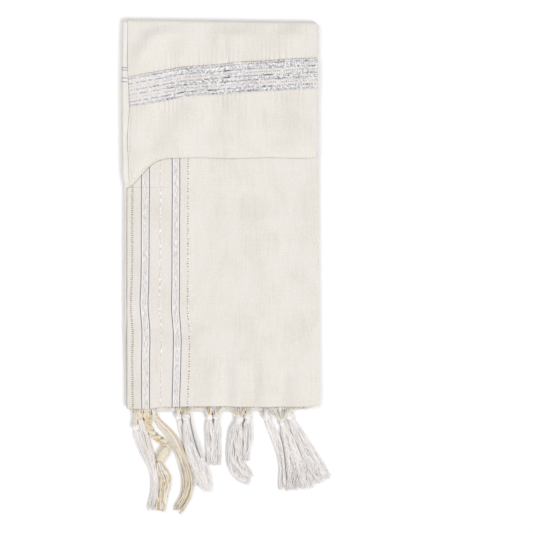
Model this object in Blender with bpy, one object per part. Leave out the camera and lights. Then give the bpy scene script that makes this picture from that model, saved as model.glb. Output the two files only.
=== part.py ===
"""A woven prayer shawl folded flat, with a striped neckband and a knotted fringe at its hem.

All sizes are in millimetres and become metres when a mesh is made.
Across runs to the right from the stack's left side, and down runs from its top edge to the hem.
"""

import math
from collections import namedtuple

import bmesh
import bpy
import numpy as np

# Driving sizes

MM = 0.001
CLOTH = 1.0
SEAM_GAP = 0.3
LEAF_PAIR = 2 * CLOTH + SEAM_GAP
TURN_RADIUS = LEAF_PAIR / 2

NECK_LENGTH = 203.5
FRONT_LENGTH = 468.0
TOP_EDGE_SLOPE = 3.5 / 226.0

# Heights: the hidden layers below, then the front leaves, then the neck leaves

UNDER_HEIGHT = 5.6
FRONT_BASE = UNDER_HEIGHT + SEAM_GAP
NECK_BASE = FRONT_BASE + LEAF_PAIR + SEAM_GAP
FLOOR_GAP = 0.2
WRAP_RADIUS = (NECK_BASE - LEAF_PAIR - FLOOR_GAP) / 2
WRAP_CENTRE_DOWN = WRAP_RADIUS + LEAF_PAIR
WRAP_CENTRE_UP = NECK_BASE - WRAP_RADIUS
LOW_LEAF_SHORT = 0.8
FRONT_START = WRAP_CENTRE_DOWN - 0.9
WRAP_STEPS = 7
TURN_STEPS = 5

# Edges of the leaves: how far across an edge lies, at each distance down

Edge = namedtuple("Edge", "down across")

NECK_TOP_LEFT = [
    Edge(0, 8.2),
    Edge(61, 8.4),
    Edge(97, 10.4),
    Edge(108, 10.8),
    Edge(120, 9.2),
    Edge(136, 8.2),
    Edge(151, 7.7),
    Edge(162, 8.9),
    Edge(188, 9.2),
    Edge(203.5, 10.8),
]
NECK_LOW_LEFT = [Edge(0, 4.6), Edge(60, 3.8), Edge(150, 4.2), Edge(188, 4.6), Edge(203.5, 6.6)]
NECK_RIGHT = [Edge(0, 235.0), Edge(203.5, 236.0)]

FRONT_TOP_LEFT = [Edge(0, 7.6), Edge(260, 7.2), Edge(468, 7.4)]
FRONT_LOW_LEFT = [Edge(0, 4.6), Edge(340, 4.8), Edge(468, 6.6)]
FRONT_RIGHT = [Edge(0, 235.6), Edge(203, 236.6), Edge(367, 237.8), Edge(455, 239.0), Edge(468, 237.6)]

# Lower ends: how far down a leaf ends, at each distance across

End = namedtuple("End", "across down")

NECK_END = [
    End(10.8, 203.5),
    End(13, 200),
    End(32.4, 178.8),
    End(37.2, 174),
    End(43.2, 170.4),
    End(55, 167.2),
    End(236, 167.0),
]
FRONT_END = [
    End(7, 468),
    End(36, 467.8),
    End(46, 465.6),
    End(110, 464.6),
    End(160, 465.6),
    End(232, 465.2),
    End(239, 462.0),
]

# Soft troughs and ridges of the upper leaves, each along a line, fading sideways

Crease = namedtuple("Crease", "across down across_end down_end width height")

NECK_PUFF = 1.1
NECK_CREASES = [
    Crease(30, 4, 24, 34, 12, -0.8),
    Crease(30, 70, 54, 14, 10, 0.9),
    Crease(104, 0, 112, 56, 22, -1.0),
    Crease(160, 8, 150, 44, 16, 0.5),
    Crease(76, 24, 80, 60, 12, 0.4),
    Crease(132, 94, 146, 128, 9, -1.0),
    Crease(116, 98, 112, 130, 9, 0.6),
    Crease(170, 96, 176, 140, 14, 0.5),
    Crease(60, 110, 50, 160, 18, 0.5),
    Crease(205, 120, 200, 160, 16, -0.5),
]
FRONT_PUFF = 0.8
FRONT_CREASES = [
    Crease(10, 356, 80, 374, 12, -0.8),
    Crease(20, 330, 76, 344, 14, 0.4),
    Crease(112, 430, 112, 470, 9, 0.7),
    Crease(128, 440, 127, 470, 8, -0.6),
    Crease(141, 425, 141, 470, 8, 0.7),
    Crease(174, 435, 175, 470, 10, 0.6),
    Crease(193, 440, 194, 470, 8, -0.5),
    Crease(160, 250, 170, 400, 26, 0.5),
    Crease(100, 240, 92, 330, 20, -0.4),
]
EDGE_FADE = 18.0
NECK_OPEN_EDGE = 8.0
FRONT_OPEN_EDGE = 7.0
OPEN_EDGE_SHARE = 0.25
NECK_END_SHARE = 0.3
HEM_SHARE = 0.7
FRONT_FLAT_TO = 208.0

LEAF_COLUMNS = 22
COLUMN_BIAS = 1.25
HIDDEN_COLUMNS = 5
NECK_ROWS = 15
FRONT_ROWS = 17

# The neckband: how far down its two edges run, at each distance across

Band = namedtuple("Band", "across upper lower")

BAND_EDGES = [
    Band(10.8, 69.0, 104.4),
    Band(52.8, 61.6, 102.0),
    Band(76.8, 57.4, 95.4),
    Band(93.6, 56.6, 92.0),
    Band(114, 55.8, 91.9),
    Band(154.8, 51.5, 88.5),
    Band(235.2, 46.8, 84.0),
]
BAND_INSET = 0.2
BAND_ROWS = 5
BAND_COLUMNS = 26
BAND_TURN = math.radians(100)

# The hidden layers: their common outline, with the radius of each corner

Corner = namedtuple("Corner", "across down radius")

UNDER_OUTLINE = [
    Corner(2.2, WRAP_CENTRE_DOWN - 2.3, 5),
    Corner(0.3, 40, 0),
    Corner(0.2, 100, 0),
    Corner(0.2, 157, 0),
    Corner(1.2, 172, 0),
    Corner(3.5, 200, 0),
    Corner(3.8, 260, 0),
    Corner(3.8, 385, 0),
    Corner(5.2, 430, 0),
    Corner(6.4, 471.6, 8),
    Corner(137, 471.6, 0),
    Corner(203, 470.2, 0),
    Corner(238.4, 466.0, 7),
    Corner(236.6, 367, 0),
    Corner(235.4, 203, 0),
    Corner(234.6, WRAP_CENTRE_DOWN + 1.2, 5),
]
CORNER_STEPS = 5

# Each hidden layer's height, its setback all round, and its further setback at the top edge

Layer = namedtuple("Layer", "up setback top_setback")

UNDER_LAYERS = [
    Layer(1.4, 0.9, 2.9),
    Layer(2.8, 0.0, 2.9),
    Layer(4.2, 0.7, 1.5),
    Layer(5.6, 0.1, 0.1),
]
LAYER_ROUND = 0.35
LAYER_INSET = 0.1
GROOVE_DEPTH = 0.9
TOP_SETBACK_REACH = 30.0

# The fringe: a knot under the hem, then a bundle of strands along a path

Tail = namedtuple("Tail", "across down half_width")
Tassel = namedtuple("Tassel", "name root root_half_width knot radius strands lift thick tail")

ROOT_UP = 7.1
ROOT_HALF_HEIGHT = 0.95
HEM_SAMPLES = 5
KNOT_LEVEL = 0.9
KNOT_HIGHEST = 6.6
WAIST_ABOVE_TAIL = 0.6
TIP_THICKNESS = 0.72
PATH_SAMPLES = 240
CURVE_STEPS = 12

# A knot's rings: their distance along from its middle, half width and half height, in knot radii

Ring = namedtuple("Ring", "along wide high")

KNOT_RINGS = [
    Ring(-1.25, 0.5, 0.2),
    Ring(-0.75, 0.7, 0.62),
    Ring(0.0, 1.0, 0.9),
    Ring(0.75, 0.75, 0.66),
    Ring(1.25, 0.5, 0.44),
]

# Strands: how much of its cell each one fills, and how it sways and ends

STRAND_STEP_LENGTH = 14.0
STRAND_STEPS_MIN = 4
STRAND_STEPS_MAX = 8
STRAND_FILL = 0.8
STRAND_ROUND = 0.35
STRAND_SWAY = 0.12
SWAY_STEP = 1.1
COLUMN_PHASE = 2.4
ROW_PHASE = 1.7
RAGGED_SHARE = 0.35
FIRST_STEP_SHARE = 0.65
CELL_INSET = 0.2

TASSELS = [
    Tassel("tassel_a", 19.8, 3.4, (20.2, 477.4), 4.6, (5, 2), 0.3, 3.0, [
        Tail(18.8, 493.2, 6.2),
        Tail(25.0, 505.2, 6.8),
        Tail(31.8, 524.4, 6.5),
        Tail(39.6, 544.8, 4.3),
        Tail(40.8, 565.2, 3.6),
        Tail(36.6, 591.0, 4.0),
    ]),
    Tassel("tzitzit_strings", 39.2, 3.0, (39.8, 478.0), 4.2, (6, 2), 0.3, 3.2, [
        Tail(48.8, 488.4, 4.8),
        Tail(58.6, 499.0, 5.2),
        Tail(66.0, 510.4, 5.6),
        Tail(72.2, 524.4, 5.8),
        Tail(77.8, 541.2, 6.2),
        Tail(80.2, 558.0, 6.0),
        Tail(77.4, 573.6, 5.8),
        Tail(70.2, 588.0, 5.8),
    ]),
    Tassel("tassel_b", 68.8, 3.2, (68.6, 477.2), 4.0, (4, 1), 0.3, 1.3, [
        Tail(71.8, 490.8, 3.0),
        Tail(75.0, 502.8, 2.6),
        Tail(82.0, 519.6, 2.7),
        Tail(87.8, 540.0, 2.7),
        Tail(90.8, 558.0, 2.5),
    ]),
    Tassel("tassel_c", 78.4, 3.6, (78.2, 477.2), 4.7, (6, 2), 3.3, 2.6, [
        Tail(79.9, 490.8, 5.0),
        Tail(83.4, 507.6, 7.0),
        Tail(88.2, 524.4, 8.6),
        Tail(93.6, 541.2, 9.0),
        Tail(102.0, 561.6, 7.4),
    ]),
    Tassel("tassel_d", 101.8, 5.6, (105.0, 478.0), 4.5, (3, 2), 0.3, 2.9, [
        Tail(106.0, 493.2, 4.2),
        Tail(106.6, 511.2, 4.2),
        Tail(108.0, 532.8, 3.4),
    ]),
    Tassel("tassel_e", 115.4, 4.2, (114.8, 478.0), 4.3, (3, 2), 0.3, 2.7, [
        Tail(115.2, 493.2, 3.9),
        Tail(115.4, 511.2, 3.6),
        Tail(115.4, 533.4, 3.2),
    ]),
    Tassel("tassel_f", 137.6, 8.6, (142.2, 478.6), 4.8, (6, 2), 0.3, 3.3, [
        Tail(138.8, 489.0, 6.0),
        Tail(136.8, 501.6, 7.8),
        Tail(136.1, 518.4, 9.0),
        Tail(137.5, 532.8, 9.4),
        Tail(142.8, 544.4, 8.6),
        Tail(152.4, 550.2, 7.2),
    ]),
    Tassel("tassel_g", 152.6, 3.8, (152.4, 477.0), 4.4, (4, 2), 0.3, 2.7, [
        Tail(152.0, 490.8, 4.8),
        Tail(151.6, 505.2, 4.8),
        Tail(150.9, 517.2, 4.2),
        Tail(150.2, 528.0, 3.4),
    ]),
    Tassel("tassel_h", 174.2, 3.5, (174.4, 477.6), 5.0, (4, 2), 0.3, 2.6, [
        Tail(179.4, 490.8, 4.0),
        Tail(186.8, 505.2, 3.6),
        Tail(190.6, 520.8, 3.1),
        Tail(192.8, 538.8, 2.9),
        Tail(192.6, 561.6, 2.9),
    ]),
    Tassel("tassel_j", 187.8, 8.2, (194.4, 486.6), 4.4, (7, 3), 0.3, 3.4, [
        Tail(198.8, 499.2, 5.6),
        Tail(203.2, 516.0, 8.0),
        Tail(209.0, 536.4, 11.6),
        Tail(212.8, 560.4, 14.8),
    ]),
    Tassel("tassel_k", 202.2, 3.6, (201.8, 476.4), 5.0, (6, 2), 0.3, 3.1, [
        Tail(209.8, 493.2, 5.8),
        Tail(219.8, 511.2, 7.2),
        Tail(230.4, 529.2, 8.4),
        Tail(241.8, 552.0, 10.0),
    ]),
]

# The wound corner cord, its turn and its loose strings

CORD_PATH = [
    Tail(30.1, 468.4, 3.4),
    Tail(30.4, 474.0, 4.0),
    Tail(31.2, 482.0, 4.1),
    Tail(33.3, 491.0, 4.1),
    Tail(38.2, 499.8, 4.1),
    Tail(46.0, 505.6, 4.0),
    Tail(52.4, 509.8, 3.6),
    Tail(54.8, 514.8, 3.3),
    Tail(52.2, 520.0, 3.7),
    Tail(48.2, 525.6, 4.8),
    Tail(45.8, 531.4, 4.6),
]
CORD_STRINGS = [
    Tail(48.6, 541.0, 5.6),
    Tail(53.4, 550.0, 6.6),
    Tail(53.2, 560.0, 6.2),
    Tail(49.4, 574.0, 4.6),
    Tail(46.6, 591.0, 4.2),
]
CORD_STRAND_LIFT = 0.3
CORD_STRAND_THICK = 3.0
CORD_TIP_THICK = 2.1
CORD_RINGS = 34
CORD_WINDINGS = 17
CORD_RIDGE = 0.09
PLAIN_RINGS = 3
CORD_STRAND_GRID = (4, 2)

# The cord's height above the table and its half height, at each distance down

Level = namedtuple("Level", "down up half_height")

CORD_LEVELS = [
    Level(468.0, ROOT_UP, ROOT_HALF_HEIGHT),
    Level(472.5, ROOT_UP, 1.1),
    Level(479.0, 4.3, 3.6),
]

# Plain finishes

IVORY = (0.80, 0.76, 0.69)
SILVER = (0.66, 0.65, 0.66)
WHITE = (0.82, 0.79, 0.76)
CREAM = (0.80, 0.72, 0.52)


def clear_scene():
    """Remove whatever the scene holds."""
    for item in list(bpy.data.objects):
        bpy.data.objects.remove(item, do_unlink=True)


def make_material(name, colour, roughness, metallic=0.0):
    """A plain finish for one part."""
    material = bpy.data.materials.new(name)
    material.use_nodes = True
    finish = material.node_tree.nodes["Principled BSDF"]
    finish.inputs["Base Color"].default_value = (*colour, 1.0)
    finish.inputs["Roughness"].default_value = roughness
    finish.inputs["Metallic"].default_value = metallic
    return material


def make_object(name, points, faces, material):
    """A closed solid from points in millimetres, with its faces turned outwards."""
    mesh = bpy.data.meshes.new(name)
    mesh.from_pydata((np.asarray(points) * MM).tolist(), [], faces)
    shape = bmesh.new()
    shape.from_mesh(mesh)
    bmesh.ops.recalc_face_normals(shape, faces=shape.faces)
    shape.to_mesh(mesh)
    shape.free()
    mesh.polygons.foreach_set("use_smooth", [True] * len(mesh.polygons))
    mesh.materials.append(material)
    item = bpy.data.objects.new(name, mesh)
    bpy.context.scene.collection.objects.link(item)
    return item


def edge_at(table, down):
    """How far across an edge lies, at a distance down."""
    return np.interp(down, [row.down for row in table], [row.across for row in table])


def end_at(table, across):
    """How far down a leaf ends, at a distance across."""
    return np.interp(across, [row.across for row in table], [row.down for row in table])


def top_edge_at(across):
    """How far down the stack's top edge lies, which drops a little to the right."""
    return TOP_EDGE_SLOPE * (across - 9.0)


def soft_step(value):
    """Zero below 0, one above 1, with an even slope between."""
    share = np.clip(value, 0.0, 1.0)
    return share * share * (3 - 2 * share)


def part_fade(distance, share):
    """A fade from a share at an edge to one, some way in from it."""
    return share + (1 - share) * soft_step(distance / EDGE_FADE)


def relief(across, down, creases, puff):
    """Height of an upper leaf over its flat lie: a puff, with each crease fading like a bell."""
    height = np.full(np.shape(across), puff)
    for crease in creases:
        run = np.array([crease.across_end - crease.across, crease.down_end - crease.down])
        share = (across - crease.across) * run[0] + (down - crease.down) * run[1]
        share = np.clip(share / (run @ run), 0.0, 1.0)
        aside = np.hypot(across - crease.across - share * run[0], down - crease.down - share * run[1])
        height = height + crease.height * np.exp(-((aside / crease.width) ** 2))
    return np.maximum(height, 0.0)


def neck_relief(across, down):
    """Relief of the neck leaf, which lies flat at its fold and at the top edge."""
    fade = soft_step((edge_at(NECK_RIGHT, down) - TURN_RADIUS - across) / EDGE_FADE)
    fade = fade * soft_step((down - WRAP_CENTRE_DOWN) / EDGE_FADE)
    fade = fade * part_fade(across - NECK_OPEN_EDGE, OPEN_EDGE_SHARE)
    fade = fade * part_fade(end_at(NECK_END, across) - down, NECK_END_SHARE)
    return fade * relief(across, down, NECK_CREASES, NECK_PUFF)


def front_relief(across, down):
    """Relief of the front leaf, which lies flat at its fold and under the neck leaves."""
    fade = soft_step((edge_at(FRONT_RIGHT, down) - TURN_RADIUS - across) / EDGE_FADE)
    fade = fade * soft_step((down - FRONT_FLAT_TO) / (2 * EDGE_FADE))
    fade = fade * part_fade(across - FRONT_OPEN_EDGE, OPEN_EDGE_SHARE)
    fade = fade * part_fade(FRONT_LENGTH - down, HEM_SHARE)
    return fade * relief(across, down, FRONT_CREASES, FRONT_PUFF)


def leaf_pair_sections(left_top, left_low, right):
    """Across and height of a folded leaf pair's outer and inner faces, at each given edge."""
    turn_at = right - TURN_RADIUS
    top_share = np.linspace(0, 1, LEAF_COLUMNS + 1) ** COLUMN_BIAS
    low_share = np.linspace(1, 0, HIDDEN_COLUMNS + 1)
    angle = np.linspace(0, math.pi, TURN_STEPS + 2)[1:-1]
    top = left_top + top_share * (turn_at - left_top)
    low = left_low + low_share * (turn_at - left_low)
    middle = LEAF_PAIR / 2
    faces = []
    for radius, top_up, low_up in ((middle, LEAF_PAIR, 0.0), (SEAM_GAP / 2, LEAF_PAIR - CLOTH, CLOTH)):
        across = np.concatenate([top, turn_at + radius * np.sin(angle) + 0 * top[:, :1], low], axis=1)
        up = np.concatenate([
            np.full(top.shape, top_up),
            middle + radius * np.cos(angle) + 0 * top[:, :1],
            np.full(low.shape, low_up),
        ], axis=1)
        faces.append((across, up))
    return faces


def leaf_rows(across, up, share, start, end, base, relief_at):
    """Points of a leaf pair's face along the shawl, with its relief on the upper leaf."""
    down = start + share * (end - start)
    lift = relief_at(across, down)
    lift[:, LEAF_COLUMNS + 1:] = 0.0
    return np.stack([across, -down, base + up + lift], axis=-1)


def wrap_rows(across, up, angles):
    """Points where a leaf pair turns over the top edge of the stack and under it."""
    radius = WRAP_RADIUS + up[:1]
    centre = WRAP_CENTRE_DOWN + top_edge_at(across[:1])
    down = centre - radius * np.sin(angles)
    height = WRAP_CENTRE_UP + radius * np.cos(angles)
    return np.stack([across[:1] + 0 * down, -down, height], axis=-1)


def solid_between(name, outer, inner, material):
    """A closed wall between two grids of points."""
    rows, columns = outer.shape[:2]
    count = rows * columns
    front = np.arange(count).reshape(rows, columns)
    back = front + count

    def strip(first, second):
        return np.stack([first[:-1], first[1:], second[1:], second[:-1]], axis=-1).reshape(-1, 4)

    faces = [strip(front[row], front[row + 1]) for row in range(rows - 1)]
    faces += [strip(back[row + 1], back[row]) for row in range(rows - 1)]
    faces += [strip(back[0], front[0]), strip(front[-1], back[-1])]
    faces += [strip(front[:, 0], back[:, 0]), strip(back[:, -1], front[:, -1])]
    points = np.concatenate([outer.reshape(-1, 3), inner.reshape(-1, 3)])
    return make_object(name, points, np.concatenate(faces).tolist(), material)


def build_neck_fold(material):
    """The top stretch: two leaves with their fold at the right, turned over the stack's top edge."""
    share = np.linspace(0, 1, NECK_ROWS + 1)[:, None]
    nominal = share * NECK_LENGTH
    sections = leaf_pair_sections(
        edge_at(NECK_TOP_LEFT, nominal), edge_at(NECK_LOW_LEFT, nominal), edge_at(NECK_RIGHT, nominal))
    angles = np.linspace(math.pi, 0, WRAP_STEPS + 1)[:-1, None]
    grids = []
    for across, up in sections:
        start = WRAP_CENTRE_DOWN + top_edge_at(across)
        end = end_at(NECK_END, across)
        end[:, LEAF_COLUMNS + 1:] -= LOW_LEAF_SHORT
        flat = leaf_rows(across, up, share, start, end, NECK_BASE, neck_relief)
        grids.append(np.concatenate([wrap_rows(across, up, angles), flat]))
    return solid_between("neck_fold", grids[0], grids[1], material)


def build_front_fold(material):
    """The striped, fringed end: two leaves with their fold at the right."""
    share = np.linspace(0, 1, FRONT_ROWS + 1)[:, None]
    nominal = share * FRONT_LENGTH
    sections = leaf_pair_sections(
        edge_at(FRONT_TOP_LEFT, nominal), edge_at(FRONT_LOW_LEFT, nominal), edge_at(FRONT_RIGHT, nominal))
    grids = []
    for across, up in sections:
        start = FRONT_START + top_edge_at(across)
        grids.append(leaf_rows(across, up, share, start, end_at(FRONT_END, across), FRONT_BASE, front_relief))
    return solid_between("front_fold", grids[0], grids[1], material)


def band_at(across):
    """How far down the band's upper and lower edges run, at a distance across."""
    columns = [row.across for row in BAND_EDGES]
    upper = np.interp(across, columns, [row.upper for row in BAND_EDGES])
    lower = np.interp(across, columns, [row.lower for row in BAND_EDGES])
    return upper, lower


def build_neckband(material):
    """The band: a strip on the neck leaf's own points, moved out, and round its fold."""
    share = np.linspace(0, 1, BAND_ROWS + 1)[:, None]
    first = BAND_EDGES[0]
    last = BAND_EDGES[-1]
    left_down = first.upper + share * (first.lower - first.upper)
    left = edge_at(NECK_TOP_LEFT, left_down) + BAND_INSET
    turn_at = edge_at(NECK_RIGHT, (last.upper + last.lower) / 2) - TURN_RADIUS
    flat = left + np.linspace(0, 1, BAND_COLUMNS + 1) * (turn_at - left)
    angle = np.concatenate([np.zeros(BAND_COLUMNS + 1), np.linspace(0, BAND_TURN, TURN_STEPS + 1)[1:]])
    across = np.concatenate([flat, np.full((BAND_ROWS + 1, TURN_STEPS), turn_at)], axis=1)
    upper, lower = band_at(across)
    down = upper + share * (lower - upper)
    lift = neck_relief(across, down)
    grids = []
    for out in (SEAM_GAP + CLOTH, SEAM_GAP):
        radius = TURN_RADIUS + out
        x = across + radius * np.sin(angle)
        z = NECK_BASE + TURN_RADIUS + lift + radius * np.cos(angle)
        grids.append(np.stack([x, -down, z], axis=-1))
    return solid_between("neckband", grids[0], grids[1], material)


def rounded_outline(corners):
    """A closed outline through corners, with an arc of its radius at each rounded one."""
    places = np.array([[corner.across, -corner.down] for corner in corners])
    outline = []
    for index, corner in enumerate(corners):
        here = places[index]
        if corner.radius == 0:
            outline.append(here)
            continue
        back = places[index - 1] - here
        ahead = places[(index + 1) % len(places)] - here
        back = back / np.linalg.norm(back)
        ahead = ahead / np.linalg.norm(ahead)
        half_angle = math.acos(float(back @ ahead)) / 2
        reach = corner.radius / math.tan(half_angle)
        centre = here + (back + ahead) / np.linalg.norm(back + ahead) * corner.radius / math.sin(half_angle)
        first = here + back * reach - centre
        last = here + ahead * reach - centre
        for share in np.linspace(0, 1, CORNER_STEPS + 1):
            spoke = first * (1 - share) + last * share
            outline.append(centre + spoke / np.linalg.norm(spoke) * corner.radius)
    return np.array(outline)


def set_back(outline, distance, top_distance):
    """Move an outline inwards by one distance, and by a further one near the top edge."""
    before = outline - np.roll(outline, 1, axis=0)
    after = np.roll(outline, -1, axis=0) - outline
    before = before / np.linalg.norm(before, axis=1, keepdims=True)
    after = after / np.linalg.norm(after, axis=1, keepdims=True)
    along = before + after
    along = along / np.linalg.norm(along, axis=1, keepdims=True)
    inwards = np.stack([-along[:, 1], along[:, 0]], axis=1)
    moved = outline + distance * inwards
    moved[:, 1] -= top_distance * np.clip(1 + outline[:, 1] / TOP_SETBACK_REACH, 0.0, 1.0)
    return moved


def build_under_layers(material):
    """The hidden layers as one rounded solid, with a groove between the layers all round."""
    outline = rounded_outline(UNDER_OUTLINE)
    rings = []
    bottom = 0.0
    for layer in UNDER_LAYERS:
        for up, depth in (
            (bottom, GROOVE_DEPTH),
            (bottom + LAYER_ROUND, LAYER_INSET),
            (layer.up - LAYER_ROUND, LAYER_INSET),
        ):
            ring = set_back(outline, layer.setback + depth, layer.top_setback)
            rings.append(np.column_stack([ring, np.full(len(ring), up)]))
        bottom = layer.up
    ring = set_back(outline, layer.setback + GROOVE_DEPTH, layer.top_setback)
    rings.append(np.column_stack([ring, np.full(len(ring), bottom)]))
    count = len(outline)
    faces = [list(range(count))[::-1], [(len(rings) - 1) * count + step for step in range(count)]]
    for level in range(len(rings) - 1):
        low = level * count
        for step in range(count):
            ahead = (step + 1) % count
            faces.append([low + step, low + ahead, low + count + ahead, low + count + step])
    return make_object("under_layers", np.concatenate(rings), faces, material)


def smooth_path(stations, shares):
    """Points on a smooth curve through the stations, one for each share of its length."""
    padded = np.vstack([2 * stations[0] - stations[1], stations, 2 * stations[-1] - stations[-2]])
    dense = []
    for index in range(1, len(padded) - 2):
        a, b, c, d = padded[index - 1:index + 3]
        t = np.linspace(0, 1, CURVE_STEPS, endpoint=False)[:, None]
        dense.append(0.5 * (2 * b + (c - a) * t + (2 * a - 5 * b + 4 * c - d) * t ** 2
                            + (3 * b - a - 3 * c + d) * t ** 3))
    dense.append(padded[-2:-1])
    curve = np.concatenate(dense)
    steps = np.linalg.norm(np.diff(curve[:, :2], axis=0), axis=1)
    length = np.concatenate([[0.0], np.cumsum(steps)])
    wanted = np.asarray(shares) * length[-1]
    return np.stack([np.interp(wanted, length, column) for column in curve.T], axis=1), length[-1]


def disc_grid(across_count, up_count):
    """Corners of a grid of cells, spread over a disc of radius 1."""
    p = np.linspace(-1, 1, across_count + 1)[:, None] * np.ones((1, up_count + 1))
    q = np.linspace(-1, 1, up_count + 1)[None, :] * np.ones((across_count + 1, 1))
    return np.stack([p * np.sqrt(1 - q * q / 2), q * np.sqrt(1 - p * p / 2)], axis=-1)


def rim_of(grid):
    """The cells of a grid's rim, in order round it."""
    return np.concatenate([grid[:-1, 0], grid[-1, :-1], grid[:0:-1, -1], grid[0, :0:-1]])


def side_directions(path):
    """Unit directions square to a path, in the plane of the floor."""
    ahead = np.gradient(path[:, :2], axis=0)
    ahead = ahead / np.linalg.norm(ahead, axis=1, keepdims=True)
    return np.stack([-ahead[:, 1], ahead[:, 0]], axis=1)


def strand_steps(length):
    """How many straight steps a strand of this length is made of."""
    return int(np.clip(round(length / STRAND_STEP_LENGTH), STRAND_STEPS_MIN, STRAND_STEPS_MAX))


def section_at(station, side, spots):
    """Points of a section; a station is x, y, z, half width and half height."""
    points = np.zeros((*spots.shape[:-1], 3))
    points[..., :2] = station[:2] + spots[..., :1] * station[3] * side
    points[..., 2] = station[2] + spots[..., 1] * station[4]
    return points


def join_rings(low, high):
    """Faces between two rings of point numbers."""
    return [list(corners) for corners in zip(low, low[1:] + low[:1], high[1:] + high[:1], high)]


def strand_sections(tail, sides, column, row, grid_size):
    """Four-cornered sections of one strand along the tail, with a length of its own."""
    spot = (2 * np.array([column, row]) + 1) / np.array(grid_size) - 1
    spot[1] *= math.sqrt(1 - STRAND_ROUND * spot[0] ** 2)
    half = STRAND_FILL / np.array(grid_size)
    corners = spot + half * np.array([[-1, -1], [1, -1], [1, 1], [-1, 1]])
    phase = COLUMN_PHASE * column + ROW_PHASE * row
    sections = []
    for index, (station, side) in enumerate(zip(tail, sides)):
        sway = STRAND_SWAY * half[0] * math.sin(phase + SWAY_STEP * index)
        sections.append(section_at(station, side, corners + np.array([sway, 0.0])))
    short = RAGGED_SHARE * (1 + math.sin(phase)) / 2
    sections[-1] = sections[-1] + short * (sections[-2] - sections[-1])
    return sections


def build_bundle(name, head, tail, grid_size, material):
    """A head of rings that splits into strands, one from each cell of the last ring."""
    across_count, up_count = grid_size
    corners = disc_grid(across_count, up_count)
    sides = side_directions(np.concatenate([head, tail]))
    sides[0] = [np.sign(sides[0, 0]), 0.0]
    tail_sides = sides[len(head):]
    points = []
    faces = []

    def add_points(new_points):
        start = len(points)
        points.extend(new_points.reshape(-1, 3))
        return list(range(start, len(points)))

    rim = rim_of(corners)
    rings = [add_points(section_at(station, side, rim)) for station, side in zip(head[:-1], sides)]
    last_points = section_at(head[-1], sides[len(head) - 1], corners)
    last_index = np.array(add_points(last_points)).reshape(corners.shape[:2])
    rings.append(rim_of(last_index).tolist())
    faces.append(rings[0])
    for low, high in zip(rings, rings[1:]):
        faces.extend(join_rings(low, high))
    for column in range(across_count):
        for row in range(up_count):
            cell = last_index[[column, column + 1, column + 1, column], [row, row, row + 1, row + 1]].tolist()
            cell_points = np.array([points[item] for item in cell])
            middle = cell_points.mean(axis=0)
            ring = add_points(cell_points + CELL_INSET * (middle - cell_points))
            faces.extend(join_rings(cell, ring))
            for section in strand_sections(tail, tail_sides, column, row, grid_size):
                next_ring = add_points(section)
                faces.extend(join_rings(ring, next_ring))
                ring = next_ring
            faces.append(ring)
    return make_object(name, np.array(points), faces, material)


def tassel_stations(tassel, knot_up):
    """The tassel's path: its root, its knot and its tail."""
    reach = np.linspace(-1, 1, HEM_SAMPLES) * tassel.root_half_width
    root_down = end_at(FRONT_END, tassel.root + reach).max() + SEAM_GAP
    rows = [[tassel.root, -root_down, ROOT_UP, tassel.root_half_width, ROOT_HALF_HEIGHT],
            [tassel.knot[0], -tassel.knot[1], knot_up, tassel.radius, tassel.radius]]
    thickness = np.linspace(1, TIP_THICKNESS, len(tassel.tail)) * tassel.thick
    for row, thick in zip(tassel.tail, thickness):
        rows.append([row.across, -row.down, tassel.lift + thick, row.half_width, thick])
    return np.array(rows)


def build_tassel(tassel, material):
    """One knotted tassel: its root at the hem, its knot, and strands along its path."""
    radius = tassel.radius
    knot_up = min(tassel.lift + KNOT_LEVEL * radius, KNOT_HIGHEST)
    stations = tassel_stations(tassel, knot_up)
    curve, length = smooth_path(stations, np.linspace(0, 1, PATH_SAMPLES + 1))
    to_knot = np.argmin(np.hypot(*(curve[:, :2] - stations[1, :2]).T)) / PATH_SAMPLES * length
    head_at = np.array([0.0] + [to_knot + ring.along * radius for ring in KNOT_RINGS])
    head_at[1] = max(head_at[1], head_at[2] / 3)
    head, _ = smooth_path(stations, head_at / length)
    head[0, 3:] = stations[0, 3:]
    head[1:, 3] = [ring.wide * radius for ring in KNOT_RINGS]
    head[1:, 4] = [ring.high * radius for ring in KNOT_RINGS]
    waist_lowest = tassel.lift + head[-1, 4]
    waist_up = min(knot_up, tassel.lift + tassel.thick + WAIST_ABOVE_TAIL)
    head[:, 2] = [ROOT_UP, ROOT_UP, (ROOT_UP + knot_up) / 2, knot_up, knot_up, max(waist_lowest, waist_up)]
    tail_at = np.linspace(head_at[-1] / length, 1, strand_steps(length - head_at[-1]) + 1)
    tail_at[1] = tail_at[0] + FIRST_STEP_SHARE * (tail_at[1] - tail_at[0])
    tail, _ = smooth_path(stations, tail_at[1:])
    return build_bundle(tassel.name, head, tail, tassel.strands, material)


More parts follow.
